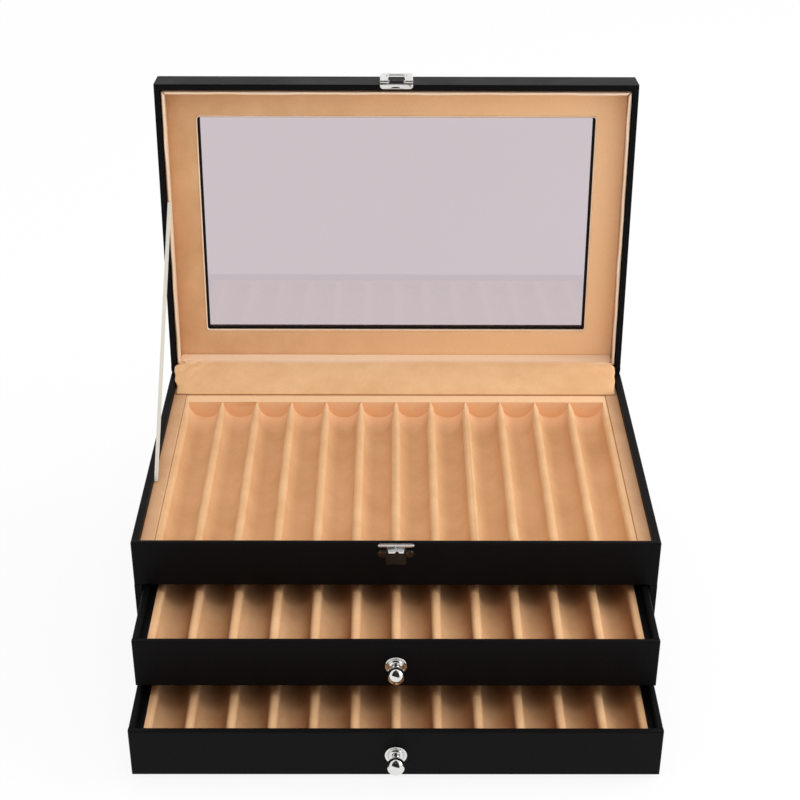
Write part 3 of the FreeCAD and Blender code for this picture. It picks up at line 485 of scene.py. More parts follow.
def join(main, others):
    """Makes others part of main's mesh."""
    bpy.ops.object.select_all(action="DESELECT")
    for thing in (main, *others):
        thing.select_set(True)
    bpy.context.view_layer.objects.active = main
    bpy.ops.object.join()
    return main


def finish_edges(thing, width, place, smooth=35):
    """Breaks every sharp edge by a little, moves the piece to its place, clears slivers and shades it."""
    use_modifier(thing, "BEVEL", width=width * MM, segments=2, limit_method="ANGLE", angle_limit=FOLD_ANGLE)
    thing.data.transform(place)
    pick(thing, edit=True)
    bpy.ops.mesh.remove_doubles(threshold=SLIVER)
    bpy.ops.mesh.dissolve_degenerate(threshold=SLIVER)
    bpy.ops.object.mode_set(mode="OBJECT")
    bpy.ops.object.shade_smooth_by_angle(angle=math.radians(smooth))
    return thing


def shift_points(thing, shift):
    """Moves each point of a finished skin by what a function of its place and normal gives."""
    mesh = thing.data
    moves = [shift(point.co.copy(), point.normal.copy()) for point in mesh.vertices]
    for point, move in zip(mesh.vertices, moves):
        point.co += move
    mesh.update()


def eased(value, start, end):
    """0 before start, 1 after end and smooth between them."""
    share = min(max((value - start) / (end - start), 0.0), 1.0)
    return share * share * (3 - 2 * share)


# ---------------------------------------------------------------- where the lid and the drawers stand
HINGE = Vector(JOINTS["lid_hinge"]["pos_m"])
LID_TURN = math.radians(JOINTS["lid_hinge"]["range_deg"][0])
LID = Matrix.Translation(HINGE) @ Matrix.Rotation(LID_TURN, 4, "X")
HALF_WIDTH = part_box("case_fascia")[1].x


# ---------------------------------------------------------------- knobs
ROSETTE = ((7.0, 0.0), (7.1, 0.45), (6.95, 0.85), (6.55, 1.1), (6.05, 1.1), (5.65, 0.85), (5.35, 0.62),
           (5.05, 0.75), (4.95, 1.2), (4.7, 1.75), (4.2, 2.2), (3.5, 2.5), (2.75, 2.6))
NECK = ((2.6, 2.6), (2.3, 2.9), (1.95, 3.5), (1.85, 4.3), (2.05, 5.0), (2.5, 5.55))
BALL_RADIUS, BALL_REACH, BALL_BANDS = 5.7, 10.3, 18
BALL_TIP = 0.02  # the angle between the ball's last ring and its tip


def fit_knob(drawer):
    """A ball knob on its stepped rosette, both turned, screwed to the middle of a drawer front."""
    low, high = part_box(f"{drawer}_rosette")
    middle = (low + high) / 2
    place = Matrix.Translation((middle.x, high.y, middle.z)) @ Matrix.Rotation(math.radians(90), 4, "X")
    rosette = turned(f"{drawer}_rosette_turned", in_mm(ROSETTE), place)
    first = math.asin(NECK[-1][0] / BALL_RADIUS)
    last = math.pi - BALL_TIP
    angles = [first + (last - first) * step / BALL_BANDS for step in range(1, BALL_BANDS + 1)]
    ball = [(BALL_RADIUS * math.sin(a), BALL_REACH - BALL_RADIUS * math.cos(a)) for a in angles]
    knob = turned(f"{drawer}_knob_turned", in_mm(NECK + tuple(ball)), place)
    for piece, node in ((rosette, f"{drawer}_rosette"), (knob, f"{drawer}_knob")):
        dress(piece, FINISHES["plated_steel"])
        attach(piece, drawer)
        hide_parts(node)


for drawer in ("drawer_1", "drawer_2"):
    fit_knob(drawer)


# ---------------------------------------------------------------- the top tray, its ridges run out in points
SLOT_COUNT, SLOT_PITCH, SLOT_DEPTH, SLOT_END = 12, 26.0, 13.2, 76.79
FLARE_LENGTH, FLARE_START, FLARE_RADIUS, FLARE_RINGS, FLARE_SIDES = 24.0, 9.6, 12.72, 9, 64
FLARE_RISE, FLARE_SINK = 0.12, 0.05  # of the cutter: over the slot's floor at its start, under it at its end
FLARE_OVER, FLARE_MOUTH = 0.06, 5.5  # how far the cutter passes the slot's end, and how high its sides stand
FLARE_CURVE, FLARE_SQUARENESS = 1.8, 0.12
# where the board's long faces are divided, in mm ahead of the slots' back ends
TRAY_DIVISIONS = (-1.0, 25.5, 30.0, 60.0, 90.0, 120.0, 150.0, 175.0, 180.5, 183.2)


def flare_corner(angle, radius):
    """A point of the cutter's section, from its middle: round below it, and nearly square above."""
    across, up = math.cos(angle), math.sin(angle) * radius
    if up > 0:
        across, up = math.copysign(abs(across) ** FLARE_SQUARENESS, across), math.sin(angle) * FLARE_MOUTH
    return radius * across, up


def flare_cutter(x, top):
    """A slot's round bottom with upright sides, widening as it nears the tray's back."""
    cutter = begin("flare", "circle", vertices=FLARE_SIDES, radius=0.01, fill_type="NGON")
    angles = [math.tau * (step + 0.5) / FLARE_SIDES for step in range(FLARE_SIDES)]
    for ring in range(FLARE_RINGS):
        if ring:
            push((0, 0, 0))
        share = ring / (FLARE_RINGS - 1)
        radius = FLARE_START + (FLARE_RADIUS - FLARE_START) * share ** FLARE_CURVE
        y = SLOT_END + FLARE_OVER - FLARE_LENGTH * (1 - share)
        middle = top - SLOT_DEPTH + radius + FLARE_RISE * (1 - share) ** 3 - FLARE_SINK * share
        section = [flare_corner(angle, radius) for angle in angles]
        shape_ring(cutter, ring, [Vector((x + across, y, middle + up)) * MM for across, up in section])
    return close_up(cutter)


def flare_tray():
    """The tray as its board is pressed: every slot widens to its lunette, and each ridge ends in a point."""
    board = NODES["top_pen_tray"]
    tray = bpy.data.objects.new("top_pen_tray_pressed", board.data.copy())
    scene.collection.objects.link(tray)
    tray.data.transform(board.matrix_world)
    pick(tray, edit=True)
    bpy.ops.mesh.remove_doubles(threshold=WELD)
    for distance in TRAY_DIVISIONS:
        bpy.ops.mesh.select_all(action="SELECT")
        bpy.ops.mesh.bisect(plane_co=(0, (SLOT_END - distance) * MM, 0), plane_no=(0, 1, 0))
    close_up(tray)
    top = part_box("top_pen_tray")[1].z / MM
    first = -SLOT_PITCH * (SLOT_COUNT - 1) / 2
    cutters = [flare_cutter(first + SLOT_PITCH * slot, top) for slot in range(SLOT_COUNT)]
    cut_away(tray, [join(cutters[0], cutters[1:])])
    pick(tray, edit=True)
    close_up(tray, smooth=32)
    dress(tray, PRESSED_SUEDE)
    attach(tray, "case")
    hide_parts("top_pen_tray")


flare_tray()


# ---------------------------------------------------------------- the padded hinge cover
# rungs through the cover, from its front foot up and back along the lid's liner: top (y, z), under (y, z)
PAD_RUNGS = (
    ((86.3, 109.2), (86.7, 108.85)), ((87.2, 110.5), (88.5, 108.9)), ((90.5, 112.2), (92.0, 109.1)),
    ((95.5, 114.4), (97.0, 109.1)), ((100.5, 116.6), (101.5, 109.1)), ((104.8, 118.4), (105.7, 109.2)),
    ((107.2, 119.4), (106.0, 113.7)), ((109.2, 120.1), (109.7, 113.9)), ((111.2, 120.7), (110.0, 116.1)),
    ((112.8, 121.1), (113.0, 116.6)), ((114.6, 121.35), (113.3, 120.3)), ((116.8, 121.25), (114.9, 120.85)),
    ((120.2, 120.85), (120.0, 120.35)), ((125.2, 120.3), (125.2, 119.85)), ((129.9, 119.75), (129.9, 119.36)),
)
PAD_HALF, PAD_STEPS, PAD_ROWS = 165.6, 136, 34
PAD_BELLY, LEFT_BULGE, RIGHT_BULGE = 0.8, 3.4, 1.6
# the small folds near its ends: how fast each runs outward and back, where it starts, and its height
PAD_FOLDS = ((0.55, 0.62, 0.0, 0.5), (0.36, -0.75, 1.0, 0.45), (0.95, 0.2, 20.0, 0.24))
FOLDS_FROM = 100  # where along the cover the folds are counted from
PRESSURE, PUFF_LIMIT, SIM_FRAMES = 3.0, 0.7, 20


def pad_place(co):
    """From the stuffed block's own measures, across, along and through it, to the cover's place."""
    share = (co.y + 0.5) * (len(PAD_RUNGS) - 1)
    index = min(int(share), len(PAD_RUNGS) - 2)
    part, through = share - index, co.z / 2
    top, under = ([a + (b - a) * part for a, b in zip(PAD_RUNGS[index][side], PAD_RUNGS[index + 1][side])]
                  for side in (0, 1))
    y, z = (under[axis] + (top[axis] - under[axis]) * through for axis in (0, 1))
    belly = 4 * through * (1 - through) * eased(abs(co.x), 0.498, 0.5) * PAD_BELLY
    return Vector((co.x * 2 * PAD_HALF + math.copysign(belly, co.x), y, z)) * MM


def puff_up(thing):
    """Blows the cover's stuffing up a little as cloth, then holds each point near where it began."""
    start = [point.co.copy() for point in thing.data.vertices]
    cloth = thing.modifiers.new("cloth", "CLOTH")
    cloth.settings.use_pressure = True
    cloth.settings.uniform_pressure_force = PRESSURE
    cloth.settings.effector_weights.gravity = 0.0
    cloth.point_cache.frame_start, cloth.point_cache.frame_end = 1, SIM_FRAMES
    for step in range(1, SIM_FRAMES + 1):
        scene.frame_set(step)
    bpy.context.view_layer.objects.active = thing
    bpy.ops.object.modifier_apply(modifier="cloth")
    scene.frame_set(1)
    for point, home in zip(thing.data.vertices, start):
        calm = 1 - 0.75 * eased(abs(home.x) / MM, 157, 165)
        limit = PUFF_LIMIT * MM * calm * (1 - eased(home.y / MM, 111, 116)) * eased(home.y / MM, 86.5, 90)
        moved = point.co - home
        if moved.length > limit:
            point.co = home + moved * (limit / moved.length)


def pad_folds(co, normal):
    """The cover bulges sideways over the boards at its ends, and gathers there in small slanting folds."""
    end = abs(co.x) / MM
    side = 1 if co.x > 0 else -1
    y, z = co.y / MM, co.z / MM
    over_board = eased(z, 113.5, 115.2) * (1 - eased(y, 111.0, 112.8))
    bulge = (LEFT_BULGE if side < 0 else RIGHT_BULGE) * eased(end, 159.0, 166.0) * over_board
    near_end = eased(end, 132.0, 158.0) if side < 0 else 0.4 * eased(end, 148.0, 163.0)
    folds = sum(height * math.sin(outward * end + back * (y - FOLDS_FROM) + start)
                for outward, back, start, height in PAD_FOLDS)
    along = math.sin(0.047 * co.x / MM + 1.1) * 0.16 + math.sin(0.021 * co.x / MM) * 0.2
    crest = eased(y, 87.5, 92.0) * (1 - 0.85 * eased(y, 115.0, 120.0)) * (1 - eased(y, 123.0, 128.0))
    upward = max(normal.z - 0.15 * normal.y, 0.0) * crest
    corner = -0.9 * eased(end, 163.0, 166.0) * upward * (1 - over_board)
    return (Vector((side * bulge, 0, 0)) + normal * ((near_end * folds + along) * upward + corner)) * MM


def sew_hinge_pad():
    """The padded cover: a stuffed block bent to its rungs, puffed up, gathered at its ends and smoothed."""
    pad = begin("hinge_pad", "grid", x_subdivisions=PAD_STEPS, y_subdivisions=PAD_ROWS, size=1)
    push((0, 0, 1))
    push((0, 0, 1))
    close_up(pad)
    shift_points(pad, lambda co, normal: pad_place(co) - co)
    puff_up(pad)
    shift_points(pad, pad_folds)
    use_modifier(pad, "SUBSURF", levels=1, render_levels=1)
    pick(pad)
    bpy.ops.object.shade_smooth()
    dress(pad, PAD_SUEDE)
    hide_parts("hinge_cushion")
    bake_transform(pad)


sew_hinge_pad()


# ---------------------------------------------------------------- the lid's padded lining
# the lining's section: how far in from the wall, and how deep below its rolled edge
LINING_SECTION = ((0.05, 16.4), (0.05, 2.2), (0.7, 1.6), (1.0, 0.9), (1.25, 0.35), (1.8, 0.0), (2.5, 0.05),
                  (3.0, 0.45), (3.25, 1.1), (3.2, 1.8), (2.8, 2.6), (2.5, 3.6), (2.5, 7.0), (2.5, 16.4))
LINING_DEPTH = 0.8  # of the rolled edge, from the hinge line
MITRE_LAP = 0.25
# side: length, where its middle meets the wall (x, y from the hinge), turn, and which ends are mitred
LINING_RUNS = {
    "front": (337.0, (0.0, -219.6), 0, (1, 1)),
    "left": (215.0, (-168.5, -112.5), -90, (0, 1)),
    "right": (215.0, (168.5, -112.5), 90, (1, 0)),
}


def wrap_lining(side):
    """One wall's lining: board wrapped in suede, its front edge rolled and not quite straight."""
    length, (x, y), turn, mitres = LINING_RUNS[side]
    half = length / 2 * MM
    lining = strip_of(f"lid_{side}_lining_wrapped", in_mm(LINING_SECTION), -half, half)
    select_edges(lambda centre, along: abs(along.x) > half)
    bpy.ops.mesh.subdivide(number_cuts=int(length / 3))
    close_up(lining)

    def settle(co, normal):
        s, inward, depth = co / MM
        near_edge = math.exp(-depth / 3.5)
        ends = 1 - eased(abs(s), length / 2 - 14, length / 2 - 3)
        wave = (math.sin(0.105 * s + len(side)) * 0.2 + math.sin(0.23 * s + 2.0) * 0.12
                + math.sin(0.052 * s) * 0.14) * near_edge * ends
        kept = max(inward - MITRE_LAP, 0)
        mitre = kept * (mitres[0] * max(0.5 - s / length, 0) - mitres[1] * max(0.5 + s / length, 0))
        return Vector((mitre, wave if inward > 1 else 0, 0.5 * wave)) * MM

    shift_points(lining, settle)
    place = Matrix.Translation(Vector((x, y, LINING_DEPTH)) * MM) @ Matrix.Rotation(math.radians(turn), 4, "Z")
    lining.data.transform(LID @ place)
    use_modifier(lining, "SUBSURF", levels=1, render_levels=1)
    pick(lining)
    bpy.ops.object.shade_smooth_by_angle(angle=math.radians(50))
    dress(lining, ROLLED_SUEDE)
    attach(lining, "lid")
    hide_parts(f"lid_{side}_liner")


for side in LINING_RUNS:
    wrap_lining(side)


# ---------------------------------------------------------------- the bead round the window
# the bead's section: how far out from the opening's edge, and how deep below the frame's face
BEAD_SECTION = ((-0.15, 1.0), (-0.2, 0.3), (-0.02, -0.12), (0.3, -0.33), (0.65, -0.36), (0.95, -0.2),
                (1.12, 0.08), (1.0, 0.5))
BEAD_HALF, BEAD_FRONT, BEAD_BACK = 145.0, -196.5, -28.5  # of the opening, across and from the hinge line
BEAD_FACE, BEAD_TOP_LAP, BEAD_CORNER, BEAD_PIECES = 17.3, 0.45, 1.9, 40
BEAD_LONG = 10.0  # runs longer than this are divided into that many pieces
BEAD_LOOSE_DEPTH = 0.2  # only what stands above this depth waves
GASKET = ((-145.2, -196.6, 19.03), (145.2, -28.3, 19.27))
GASKET_OPENING = ((-143.1, -196.0, 18.0), (143.1, -30.5, 20.0))
GASKET_CORNER = 1.4


def bead_path(out):
    """Points round the opening, with round corners, all a distance out from its edge."""
    points = []
    front = BEAD_FRONT + BEAD_TOP_LAP
    corners = ((1, front, -1), (1, BEAD_BACK, 1), (-1, BEAD_BACK, 1), (-1, front, -1))
    for index, (side, y, toward) in enumerate(corners):
        centre = Vector((side * (BEAD_HALF - BEAD_CORNER), y - toward * BEAD_CORNER))
        first = (-90, 0, 90, 180)[index]
        for step in range(7):
            angle = math.radians(first + 15 * step)
            points.append(centre + Vector((math.cos(angle), math.sin(angle))) * (BEAD_CORNER + out))
    whole = []
    for index, point in enumerate(points):
        following = points[(index + 1) % len(points)]
        pieces = BEAD_PIECES if (following - point).length > BEAD_LONG else 1
        whole += [point.lerp(following, piece / pieces) for piece in range(pieces)]
    return whole


def wrap_bead():
    """The suede's edge, rolled over a cord round the window."""
    bead = begin("window_bead", "circle", vertices=len(bead_path(0)), radius=0.1, fill_type="NOTHING")
    for row, (out, depth) in enumerate(BEAD_SECTION):
        if row:
            push((0, 0, 0))
        corners = []
        for x, y in bead_path(out):
            loose = 0.07 * math.sin(0.11 * x + 0.17 * y) + 0.04 * math.sin(0.31 * x + 0.27 * y)
            corners.append(Vector((x, y, BEAD_FACE + depth + loose * (depth < BEAD_LOOSE_DEPTH))) * MM)
        shape_ring(bead, row, corners)
    bpy.ops.mesh.select_all(action="DESELECT")
    bpy.ops.mesh.select_mode(type="EDGE")
    bpy.ops.mesh.select_non_manifold()
    bpy.ops.mesh.bridge_edge_loops()
    close_up(bead, LID, smooth=60)
    dress(bead, ROLLED_SUEDE)
    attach(bead, "lid")


def lay_gasket():
    """A black gasket that holds the pane, showing inside the bead at the sides and below."""
    gasket = close_up(block("window_gasket", *GASKET))
    opening = block("gasket_opening", *GASKET_OPENING)
    round_corners(lambda c, e: abs(e.z) > abs(e.x) + abs(e.y), GASKET_CORNER)
    cut_away(gasket, [close_up(opening)])
    finish_edges(gasket, 0.06, LID)
    dress(gasket, FINISHES["dark_board"])
    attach(gasket, "lid")


wrap_bead()
lay_gasket()


# ---------------------------------------------------------------- the hasp on the lid
HASP_PIN = Vector(JOINTS["hasp_hinge"]["pos_m"])
LOOP_TURN = LID_TURN + math.radians(JOINTS["hasp_hinge"]["range_deg"][0])
LOOP = Matrix.Translation(HASP_PIN) @ Matrix.Rotation(LOOP_TURN, 4, "X")
HASP_HALF, BARREL_HALF, STUB_START, BARREL_RADIUS = 11.7, 6.4, 5.2, 1.3
PIN_Y, PIN_Z = -225.8, 1.8  # of the pin from the hinge line, in mm, with the lid shut
LID_FACE, LID_EDGE = -224.0, 0.3
HASP_OPENING = ((-6.4, 0.75), (-6.4, 13.0), (6.4, 13.0), (6.4, 0.75))
LOOP_SHEET, LOOP_FOOT, LOOP_HEAD = 0.4, -11.2, -1.55  # half the sheet's thickness, and its ends from the pin
PLATE_SHEET, NECK_SHEET, LIP_SHEET, LIP_REACH = 0.8, 0.32, 0.32, 2.9
LOOP_CORNER, PLATE_CORNER, LIP_CORNER = 2.4, 2.0, 2.3
LOOP_WINDOW = ((-6.3, -1.0), (-5.3, -8.9), (-4.9, -9.2), (4.9, -9.2), (5.3, -8.9), (6.3, -1.0))
LOOP_SLIT = ((7.5, -6.4), (7.2, -8.6), (6.6, -8.6), (6.9, -6.4))
LIP_CRESCENT = ((-3.9, 0.35), (-2.9, -0.15), (-0.6, -0.4), (1.7, -0.15), (2.7, 0.35), (1.7, 0.4), (-0.6, 0.2),
                (-2.9, 0.4))
LIP_NICK = ((8.7, -0.35), (10.6, 0.45), (10.7, 0.1), (8.9, -0.7))
ARM_MIDDLE, ARM_REACH = 9.15, 2.55  # of the plate's two arms, which hold the pin outside the loop's barrels
BORE, BARREL_CHAMFER, BARREL_EASE = 0.62, 0.12, 0.93


def knuckle(name, start, end, y, z):
    """A rolled barrel along X, open at the pin."""
    eased_radius = BARREL_RADIUS * BARREL_EASE
    profile = ((BORE, start), (eased_radius, start), (BARREL_RADIUS, start + BARREL_CHAMFER),
               (BARREL_RADIUS, end - BARREL_CHAMFER), (eased_radius, end), (BORE, end))
    place = Matrix.Translation(Vector((0, y, z)) * MM) @ Matrix.Rotation(math.radians(90), 4, "Y")
    return turned(name, in_mm(profile), place, sides=28)


def press_loop():
    """The loop folded back on the lid: a stamped frame with a tapered window and two slits."""
    loop = block("hasp_loop_pressed", (-HASP_HALF, -LOOP_SHEET, LOOP_FOOT), (HASP_HALF, LOOP_SHEET, LOOP_HEAD))
    round_corners(lambda c, e: abs(e.y) > abs(e.x) + abs(e.z) and c.z < -11 * MM, LOOP_CORNER)
    close_up(loop)
    left_slit = [(-x, z) for x, z in LOOP_SLIT]
    cut_away(loop, [prism("opening", outline, -2, 2) for outline in (LOOP_WINDOW, left_slit, LOOP_SLIT)])
    for side in (-1, 1):
        ends = sorted((side * STUB_START, side * BARREL_HALF))
        web = close_up(block("web", (ends[0], -LOOP_SHEET, -1.8), (ends[1], LOOP_SHEET, -0.9)))
        join(loop, [web, knuckle("barrel", *ends, 0, 0)])
    return finish_edges(loop, 0.14, LOOP)


def press_hasp_plate():
    """The plate under the loop: open in its middle, and folded over the lid's edge in a rounded lip."""
    plate = block("hasp_plate_pressed",
                  (-HASP_HALF, LID_FACE - PLATE_SHEET, PIN_Z + 1.5), (HASP_HALF, LID_FACE, PIN_Z + 10))
    round_corners(lambda c, e: abs(e.y) > abs(e.x) + abs(e.z) and c.z > 11 * MM, PLATE_CORNER)
    close_up(plate)
    neck = block("neck", (-HASP_HALF, LID_FACE - NECK_SHEET, LID_EDGE - 0.3), (HASP_HALF, LID_FACE, PIN_Z + 1.7))
    close_up(neck)
    for sheet in (plate, neck):
        cut_away(sheet, [prism("opening", HASP_OPENING, LID_FACE - 2, LID_FACE + 1)])
    lip = block("lip",
                (-HASP_HALF, LID_FACE - 0.3, LID_EDGE - LIP_SHEET), (HASP_HALF, LID_FACE + LIP_REACH, LID_EDGE))
    round_corners(lambda c, e: abs(e.z) > abs(e.x) + abs(e.y) and c.y > (LID_FACE + 2) * MM, LIP_CORNER, 6)
    close_up(lip)
    turn = Matrix.Rotation(math.radians(-90), 4, "X")
    crescent = prism("crescent", LIP_CRESCENT, -1, 1)
    nick = prism("nick", LIP_NICK, -1, 1)
    for cutter, y in ((crescent, LID_FACE + 1.75), (nick, LID_FACE + 0.7)):
        cutter.data.transform(Matrix.Translation(Vector((0, y, LID_EDGE)) * MM) @ turn)
    cut_away(lip, [crescent, nick])
    spans = [(side * ARM_MIDDLE - ARM_REACH, side * ARM_MIDDLE + ARM_REACH) for side in (-1, 1)]
    arms = [knuckle("arm", start, end, PIN_Y, PIN_Z) for start, end in spans]
    webs = [close_up(block("web", (start, PIN_Y + 0.5, PIN_Z + 0.5), (end, LID_FACE - 0.2, PIN_Z + 1.6)))
            for start, end in spans]
    join(plate, [neck, lip, *arms, *webs])
    return finish_edges(plate, 0.12, LID)


# the hasp pin takes the plate darkened with painted shade
dress(NODES["hasp_pin"], SHADED_PLATE)
for piece, node, body in ((press_loop(), "hasp_loop", "hasp"), (press_hasp_plate(), "hasp_plate", "lid")):
    dress(piece, SATIN_PLATE)
    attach(piece, body)
    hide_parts(node)


# ---------------------------------------------------------------- the catch on the front
CATCH_FACE = -112.1
CATCH_BODY = ((-6.7, CATCH_FACE, 96.3), (6.7, -111.5, 111.0))
EAR_X, EAR_Y, EAR_Z, EAR_RADIUS, EAR_THICKNESS = 8.95, -111.8, 105.0, 3.1, 0.6
BAR_SECTION = ((-111.55, 112.6), (-112.2, 112.6), (-112.6, 112.25), (-112.75, 111.5), (-112.6, 110.6),
               (-112.3, 110.15), (-111.55, 110.15))
BAR_HALF, BAR_MIDDLE, BAR_CUTS = 11.7, 111.35, 30
TONGUE_SECTION = ((CATCH_FACE + 0.2, 111.7), (-113.1, 111.0), (-114.75, 107.9), (-114.9, 107.3),
                  (-114.4, 107.2), (-112.9, 110.0), (CATCH_FACE + 0.2, 110.4))
TONGUE_HALF, TONGUE_TAPER, TONGUE_TILT = 5.7, 0.14, -28
GROOVES_AT = (0, -113.75, 109.78)
GROOVES = (
    ((-0.9, 1.5), (0.1, -0.2), (0.5, -0.2), (-0.4, 1.5)),
    ((0.4, -0.2), (3.0, 1.5), (3.5, 1.5), (0.8, -0.4)),
    ((-4.4, -0.9), (-1.9, -0.9), (-1.9, -1.3), (-4.2, -1.3)),
    ((1.9, -0.9), (4.3, -0.9), (4.1, -1.3), (1.9, -1.3)),
)
NOTCH_X, NOTCH_Z, NOTCH_HALF, NOTCH_HEIGHT, NOTCH_SIDES = 0.6, 107.2, 1.35, 1.3, 16


def press_catch():
    """The catch: a bright bar and a tongue with a thumb notch, over a body with two screw ears darkened with
    painted shade.
    """
    bar = strip_of("catch_pressed", in_mm(BAR_SECTION), -BAR_HALF * MM, BAR_HALF * MM)
    select_edges(lambda centre, along: abs(along.x) > BAR_HALF * MM)
    bpy.ops.mesh.subdivide(number_cuts=BAR_CUTS)
    close_up(bar)

    def squeeze(co, normal):
        share = 0.5 * eased(abs(co.x) / MM, BAR_HALF - 1.3, BAR_HALF + 0.1)
        return Vector((0, 0, (BAR_MIDDLE * MM - co.z) * share))

    shift_points(bar, squeeze)
    tongue = close_up(strip_of("tongue", in_mm(TONGUE_SECTION), -TONGUE_HALF * MM, TONGUE_HALF * MM))
    shift_points(tongue, lambda co, n: Vector((-co.x * TONGUE_TAPER * eased(-co.z / MM, -111, -107.5), 0, 0)))
    cutters = []
    tilt = Matrix.Rotation(math.radians(TONGUE_TILT), 4, "X")
    mirrored = Matrix.Rotation(math.pi, 4, "Z") @ Matrix.Scale(-1, 4, (1, 0, 0))
    for outline in GROOVES:
        groove = prism("groove", outline, -0.16, 1.2)
        groove.data.transform(Matrix.Translation(Vector(GROOVES_AT) * MM) @ tilt @ mirrored)
        groove.data.flip_normals()
        cutters.append(groove)
    angles = [math.tau * step / NOTCH_SIDES for step in range(NOTCH_SIDES)]
    round_notch = [(NOTCH_X + NOTCH_HALF * math.cos(a), NOTCH_Z + NOTCH_HEIGHT * math.sin(a)) for a in angles]
    cut_away(tongue, [*cutters, prism("notch", round_notch, -116.5, -113.6)])
    join(bar, [tongue])
    finish_edges(bar, 0.1, Matrix.Identity(4))
    body = close_up(block("catch_body_pressed", *CATCH_BODY))
    ears = []
    upright = Matrix.Rotation(math.radians(90), 4, "X")
    for side in (-1, 1):
        ear = begin("ear", "cylinder", vertices=36, radius=EAR_RADIUS * MM, depth=EAR_THICKNESS * MM)
        ears.append(close_up(ear, Matrix.Translation(Vector((side * EAR_X, EAR_Y, EAR_Z)) * MM) @ upright))
    join(body, ears)
    finish_edges(body, 0.12, Matrix.Identity(4))
    for piece, finish in ((bar, SATIN_PLATE), (body, SHADED_PLATE)):
        dress(piece, finish)
        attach(piece, "case")
        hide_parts("catch_plate")


press_catch()
# the screw heads take the plate darkened with painted shade
dress(NODES["catch_screws"], SCREW_PLATE)


# ---------------------------------------------------------------- the ribbon stay
RIBBON_THICKNESS, RIBBON_TUCK, RIBBON_BOW, RIBBON_EDGE = 0.35 * MM, 0.1 * MM, 0.5 * MM, 0.12 * MM
RIBBON_STEPS = 48


def stretch_ribbon():
    """A narrow tape drawn tight from the case's seam to the lid's, with thicker woven edges."""
    low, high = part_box("stay_ribbon")
    foot = Vector(((low.x + high.x) / 2, low.y + RIBBON_THICKNESS, low.z + RIBBON_TUCK))
    head = Vector((foot.x, high.y - RIBBON_THICKNESS, high.z - RIBBON_TUCK))
    length, width = (head - foot).length, high.x - low.x
    ribbon = begin("stay_ribbon_tape", "grid", x_subdivisions=6, y_subdivisions=RIBBON_STEPS, size=1)
    bpy.ops.transform.resize(value=(width, length, 1), center_override=(0, 0, 0))
    bpy.ops.object.mode_set(mode="OBJECT")
    drawn = (head - foot).normalized()
    across = Vector((1, 0, 0))
    front = across.cross(drawn)
    stand = Matrix((across, drawn, front)).transposed().to_4x4()
    ribbon.data.transform(Matrix.Translation((head + foot) / 2) @ stand)
    use_modifier(ribbon, "SOLIDIFY", thickness=RIBBON_THICKNESS, offset=0)
    shift_points(ribbon, lambda co, n: n * (RIBBON_EDGE * eased(abs(co.x - foot.x), width * 0.36, width * 0.48)))

    def bow(co, normal):
        share = min(max((co - foot).dot(drawn) / length, 0), 1)
        return -front * (RIBBON_BOW * math.sin(math.pi * share)) * (1 if front.y > 0 else -1)

    shift_points(ribbon, bow)
    use_modifier(ribbon, "SUBSURF", levels=1, render_levels=1)
    pick(ribbon)
    bpy.ops.object.shade_smooth()
    dress(ribbon, FINISHES["ribbon"])
    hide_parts("stay_ribbon")
    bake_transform(ribbon)


stretch_ribbon()


# ---------------------------------------------------------------- the leatherette tape behind the hinge line
TAPE_PATH = ((111.75, 104.5), (111.75, 112.6), (112.05, 113.5), (112.8, 114.0), (113.8, 114.05), (121.0, 113.4))
TAPE_THICKNESS, TAPE_GAP = 0.35, 0.4 * MM


def tape_section():
    """The tape's outline: its path, and the same path a thickness further out."""
    outer = []
    for index, (y, z) in enumerate(TAPE_PATH):
        before = TAPE_PATH[max(index - 1, 0)]
        after = TAPE_PATH[min(index + 1, len(TAPE_PATH) - 1)]
        run = Vector((after[0] - before[0], after[1] - before[1])).normalized()
        outer.append((y + run.y * TAPE_THICKNESS, z - run.x * TAPE_THICKNESS))
    return in_mm([*TAPE_PATH, *reversed(outer)])


def glue_tape():
    """Coated cloth glued over the gap between the two back boards, cut away at the hinges."""
    leaf_start, leaf_end = (corner.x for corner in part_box("right_hinge_case_leaf"))
    inner, outer, side_edge = leaf_start - TAPE_GAP, leaf_end + TAPE_GAP, HALF_WIDTH - TAPE_GAP
    spans = {"left": (-side_edge, -outer), "middle": (-inner, inner), "right": (outer, side_edge)}
    for side, (start, end) in spans.items():
        tape = close_up(strip_of(f"hinge_tape_{side}", tape_section(), start, end), smooth=60)
        dress(tape, FINISHES["leatherette"])
        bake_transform(tape)


glue_tape()


# ---------------------------------------------------------------- camera, floor and light
CAMERA_AT = Vector((-1.963, -962.021, 721.479)) * MM
CAMERA_TURN = (-0.277, 90 - 30.484, 0.226)  # about Z, then tilted up from straight down, then rolled
LENS, SENSOR, FAR_CLIP = 72.26, 36.0, 20.0
FLOOR_SIZE, FLOOR_GREY, FLOOR_GLOW, CARD_GREY = 14, 0.93, 0.88, 0.02
WORLD_STRENGTH = 0.87
# name: place, aim, size and power
LAMPS = {
    "softbox_right": ((1.5, 0.1, 0.9), (0, 0, 0.12), (0.8, 0.8), 13.6),
    "softbox_top": ((0.1, -0.15, 1.9), (0, -0.05, 0.1), (1.1, 0.8), 4.0),
}
FLAG_CORNERS = ((-1.256, -0.725, 0.676), (1.013, -1.207, 0.278), (0.0, 0.65, 1.46))

camera = bpy.data.objects.new("camera", bpy.data.cameras.new("camera"))
scene.collection.objects.link(camera)
turns = [Matrix.Rotation(math.radians(angle), 4, axis) for angle, axis in zip(CAMERA_TURN, "ZXZ")]
camera.matrix_world = Matrix.Translation(CAMERA_AT) @ turns[0] @ turns[1] @ turns[2]
camera.data.lens = LENS
camera.data.sensor_width = SENSOR
camera.data.clip_end = FAR_CLIP
scene.camera = camera


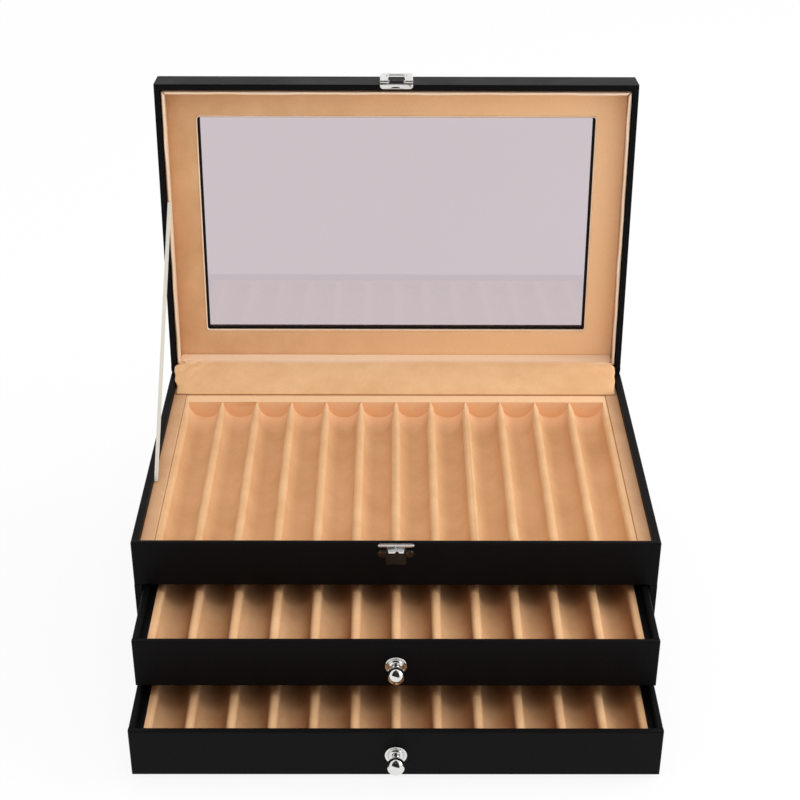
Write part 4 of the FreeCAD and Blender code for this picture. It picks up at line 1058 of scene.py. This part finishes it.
def unlit_rays(tree):
    """1 for rays that only look at the backdrop: straight from the camera, mirrored or through glass."""
    path = add_node(tree, "LightPath")
    seen = [path.outputs[f"Is {kind} Ray"] for kind in ("Camera", "Glossy", "Transmission")]
    first = add_node(tree, "Math", {0: seen[0], 1: seen[1]}, operation="MAXIMUM").outputs[0]
    return add_node(tree, "Math", {0: first, 1: seen[2]}, operation="MAXIMUM").outputs[0]


def lay_floor():
    """A wide pale floor, which lies white in view and keeps the shadow."""
    bpy.ops.object.select_all(action="DESELECT")
    bpy.ops.mesh.primitive_plane_add(size=FLOOR_SIZE)
    floor = bpy.context.object
    floor.name = "floor"
    finish, tree = bare_finish("pale_floor")
    matt = add_node(tree, "BsdfDiffuse", {"Color": (FLOOR_GREY, FLOOR_GREY, FLOOR_GREY, 1)}).outputs[0]
    white = add_node(tree, "Emission", {"Color": (1, 1, 1, 1), "Strength": 1.0}).outputs[0]
    share = add_node(tree, "Math", {0: unlit_rays(tree), 1: FLOOR_GLOW}, operation="MULTIPLY").outputs[0]
    both = add_node(tree, "MixShader", {0: share, 1: matt, 2: white}).outputs[0]
    add_node(tree, "OutputMaterial", {"Surface": both})
    dress(floor, finish)


def hang_lamp(name, place, aim, size, power):
    """A softbox at a place, turned to what it lights."""
    lamp = bpy.data.objects.new(name, bpy.data.lights.new(name, "AREA"))
    lamp.data.shape = "RECTANGLE"
    lamp.data.size, lamp.data.size_y = size
    lamp.data.energy = power
    scene.collection.objects.link(lamp)
    lamp.location = place
    lamp.rotation_euler = (Vector(aim) - Vector(place)).to_track_quat("-Z", "Y").to_euler()
    lamp.visible_camera = False


def set_world():
    """Soft light from all round, and plain white where it is only looked at."""
    world = bpy.data.worlds.new("studio")
    scene.world = world
    world.use_nodes = True
    tree = world.node_tree
    tree.nodes.clear()
    soft = add_node(tree, "Background", {"Color": (1, 1, 1, 1), "Strength": WORLD_STRENGTH}).outputs[0]
    white = add_node(tree, "Background", {"Color": (1, 1, 1, 1), "Strength": 1.0}).outputs[0]
    both = add_node(tree, "MixShader", {0: unlit_rays(tree), 1: soft, 2: white}).outputs[0]
    add_node(tree, "OutputWorld", {"Surface": both})


def stand_flag():
    """A three-cornered dark card over the camera, which only mirrors see, as in a studio."""
    flag = outline_of("dark_flag", FLAG_CORNERS)
    bpy.ops.object.mode_set(mode="OBJECT")
    finish, tree = bare_finish("dark_card")
    matt = add_node(tree, "BsdfDiffuse", {"Color": (CARD_GREY, CARD_GREY, CARD_GREY, 1)}).outputs[0]
    add_node(tree, "OutputMaterial", {"Surface": matt})
    dress(flag, finish)
    for ray in ("camera", "diffuse", "transmission", "volume_scatter", "shadow"):
        setattr(flag, f"visible_{ray}", False)


lay_floor()
set_world()
stand_flag()
for name, (place, aim, size, power) in LAMPS.items():
    hang_lamp(name, place, aim, size, power)
scene.view_settings.view_transform = "Standard"
